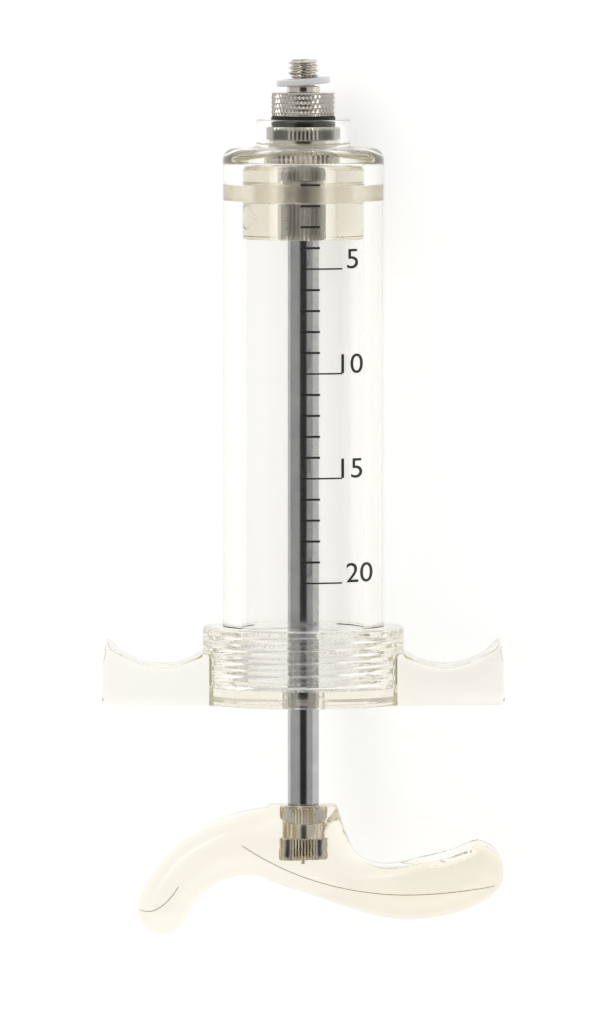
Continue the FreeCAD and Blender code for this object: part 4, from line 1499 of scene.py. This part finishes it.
@dataclass
class Studio:
    """A pale table, soft light all round with a dark oval at the camera, a lamp and the camera."""

    table: float = 6.0
    table_glow: float = 0.5
    table_colour: str = "#FAFAF9"
    light: float = 0.78
    dark: float = 0.05
    # The dark oval's half width and half height seen from the syringe, and the shares where its edge fades.
    dark_size: tuple[float, float] = (0.5, 0.24)
    dark_fade: tuple[float, float] = (0.6, 1.15)
    lamp_spot: tuple[float, float, float] = (-450.0, -700.0, 380.0)
    lamp_size: tuple[float, float] = (0.45, 0.32)
    lamp_watts: float = 0.8
    away: float = 2500.0
    sight: float = 20.0
    target: tuple[float, float, float] = (0.11, 0.0, -55.7)
    lean: float = 3.3
    focal_px: float = 15743.0
    long_side_px: float = 1024.0
    bounces: int = 28
    sensor: float = 36.0

    def camera_way(self) -> Vector:
        """The direction from the syringe to the camera: towards the reader and a little towards the tip."""
        lean = math.radians(self.lean)
        return LAYOUT.way(0.0, -math.cos(lean), math.sin(lean))

    def build(self) -> None:
        """Builds table, light and camera. Light needs many bounces to leave the clear walls again."""
        self.build_table()
        self.build_world()
        self.build_lamp()
        data = bpy.data.cameras.new("camera")
        data.sensor_width = self.sensor
        data.lens = self.focal_px / self.long_side_px * self.sensor
        data.clip_end = self.sight
        camera = bpy.data.objects.new("camera", data)
        bpy.context.scene.collection.objects.link(camera)
        way = self.camera_way()
        camera.location = LAYOUT.place(*self.target) + way * self.away * MM
        side = LAYOUT.tip.cross(way).normalized()
        up = way.cross(side)
        camera.rotation_mode = "QUATERNION"
        camera.rotation_quaternion = Matrix((side, up, way)).transposed().to_quaternion()
        bpy.context.scene.camera = camera
        bpy.context.scene.view_settings.view_transform = "Standard"
        cycles = bpy.context.scene.cycles
        cycles.max_bounces = cycles.transmission_bounces = cycles.glossy_bounces = self.bounces

    def build_lamp(self) -> None:
        """A soft rectangular lamp on the left, like a window, that faces the middle of the syringe."""
        data = bpy.data.lights.new("window_left", "AREA")
        data.shape = "RECTANGLE"
        data.size, data.size_y = self.lamp_size
        data.energy = self.lamp_watts
        lamp = bpy.data.objects.new("window_left", data)
        bpy.context.scene.collection.objects.link(lamp)
        lamp.location = LAYOUT.place(*self.lamp_spot)
        lamp.rotation_mode = "QUATERNION"
        lamp.rotation_quaternion = (LAYOUT.place(*self.target) - lamp.location).to_track_quat("-Z", "Y")

    def build_table(self) -> None:
        """A pale opal table top that glows a little, as a light table does."""
        half = self.table / 2
        corners = [(-half, -half, 0.0), (half, -half, 0.0), (half, half, 0.0), (-half, half, 0.0)]
        mesh = bpy.data.meshes.new("table")
        mesh.from_pydata(corners, [], [[0, 1, 2, 3]])
        material, tree = new_material("opal_acrylic_table")
        colour = linear(self.table_colour)
        glow = add_node(tree, "ShaderNodeEmission", {}, {"Color": colour, "Strength": self.table_glow})
        matt = add_node(tree, "ShaderNodeBsdfDiffuse", {}, {"Color": colour})
        both = add_node(tree, "ShaderNodeAddShader", {}, {0: glow.outputs[0], 1: matt.outputs[0]})
        add_node(tree, "ShaderNodeOutputMaterial", {}, {"Surface": both.outputs[0]})
        mesh.materials.append(material)
        table = bpy.data.objects.new("table", mesh)
        bpy.context.scene.collection.objects.link(table)

    def build_world(self) -> None:
        """Soft light from all round, with a dark oval round the place where the camera stands."""
        world = bpy.data.worlds.new("studio")
        bpy.context.scene.world = world
        world.use_nodes = True
        tree = world.node_tree
        tree.nodes.clear()
        coordinates = add_node(tree, "ShaderNodeTexCoord", {}, {})
        way, drop = self.camera_way(), math.sin(math.radians(self.lean))
        parts: dict[Any, Any] = {}
        for n, axis in enumerate((LAYOUT.right / self.dark_size[0], LAYOUT.tip / self.dark_size[1], -way)):
            both = {0: coordinates.outputs[0], 1: axis}
            share = add_node(tree, "ShaderNodeVectorMath", {"operation": "DOT_PRODUCT"}, both)
            parts[n] = share.outputs["Value"]
        place = add_node(tree, "ShaderNodeCombineXYZ", {}, parts)
        shift = {0: place.outputs[0], 1: (0.0, drop / self.dark_size[1], 1.0)}
        moved = add_node(tree, "ShaderNodeVectorMath", {"operation": "ADD"}, shift)
        away = add_node(tree, "ShaderNodeVectorMath", {"operation": "LENGTH"}, {0: moved.outputs[0]})
        level = add_node(
            tree,
            "ShaderNodeMapRange",
            {"interpolation_type": "SMOOTHSTEP"},
            {
                "Value": away.outputs["Value"],
                "From Min": self.dark_fade[0],
                "From Max": self.dark_fade[1],
                "To Min": self.dark,
                "To Max": self.light,
            },
        )
        background = add_node(tree, "ShaderNodeBackground", {}, {"Strength": level.outputs[0]})
        add_node(tree, "ShaderNodeOutputWorld", {}, {"Surface": background.outputs[0]})


def main() -> None:
    """Builds every sub-assembly in order."""
    logging.basicConfig(level=logging.INFO, format="%(name)s: %(message)s")
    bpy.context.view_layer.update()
    Studio().build()
    barrel = Barrel()
    barrel.build()
    NozzleHead().build()
    Plunger().build()
    FingerRing(barrel).build()
    Handle().build()
    bpy.context.view_layer.update()


if __name__ == "__main__":
    main()
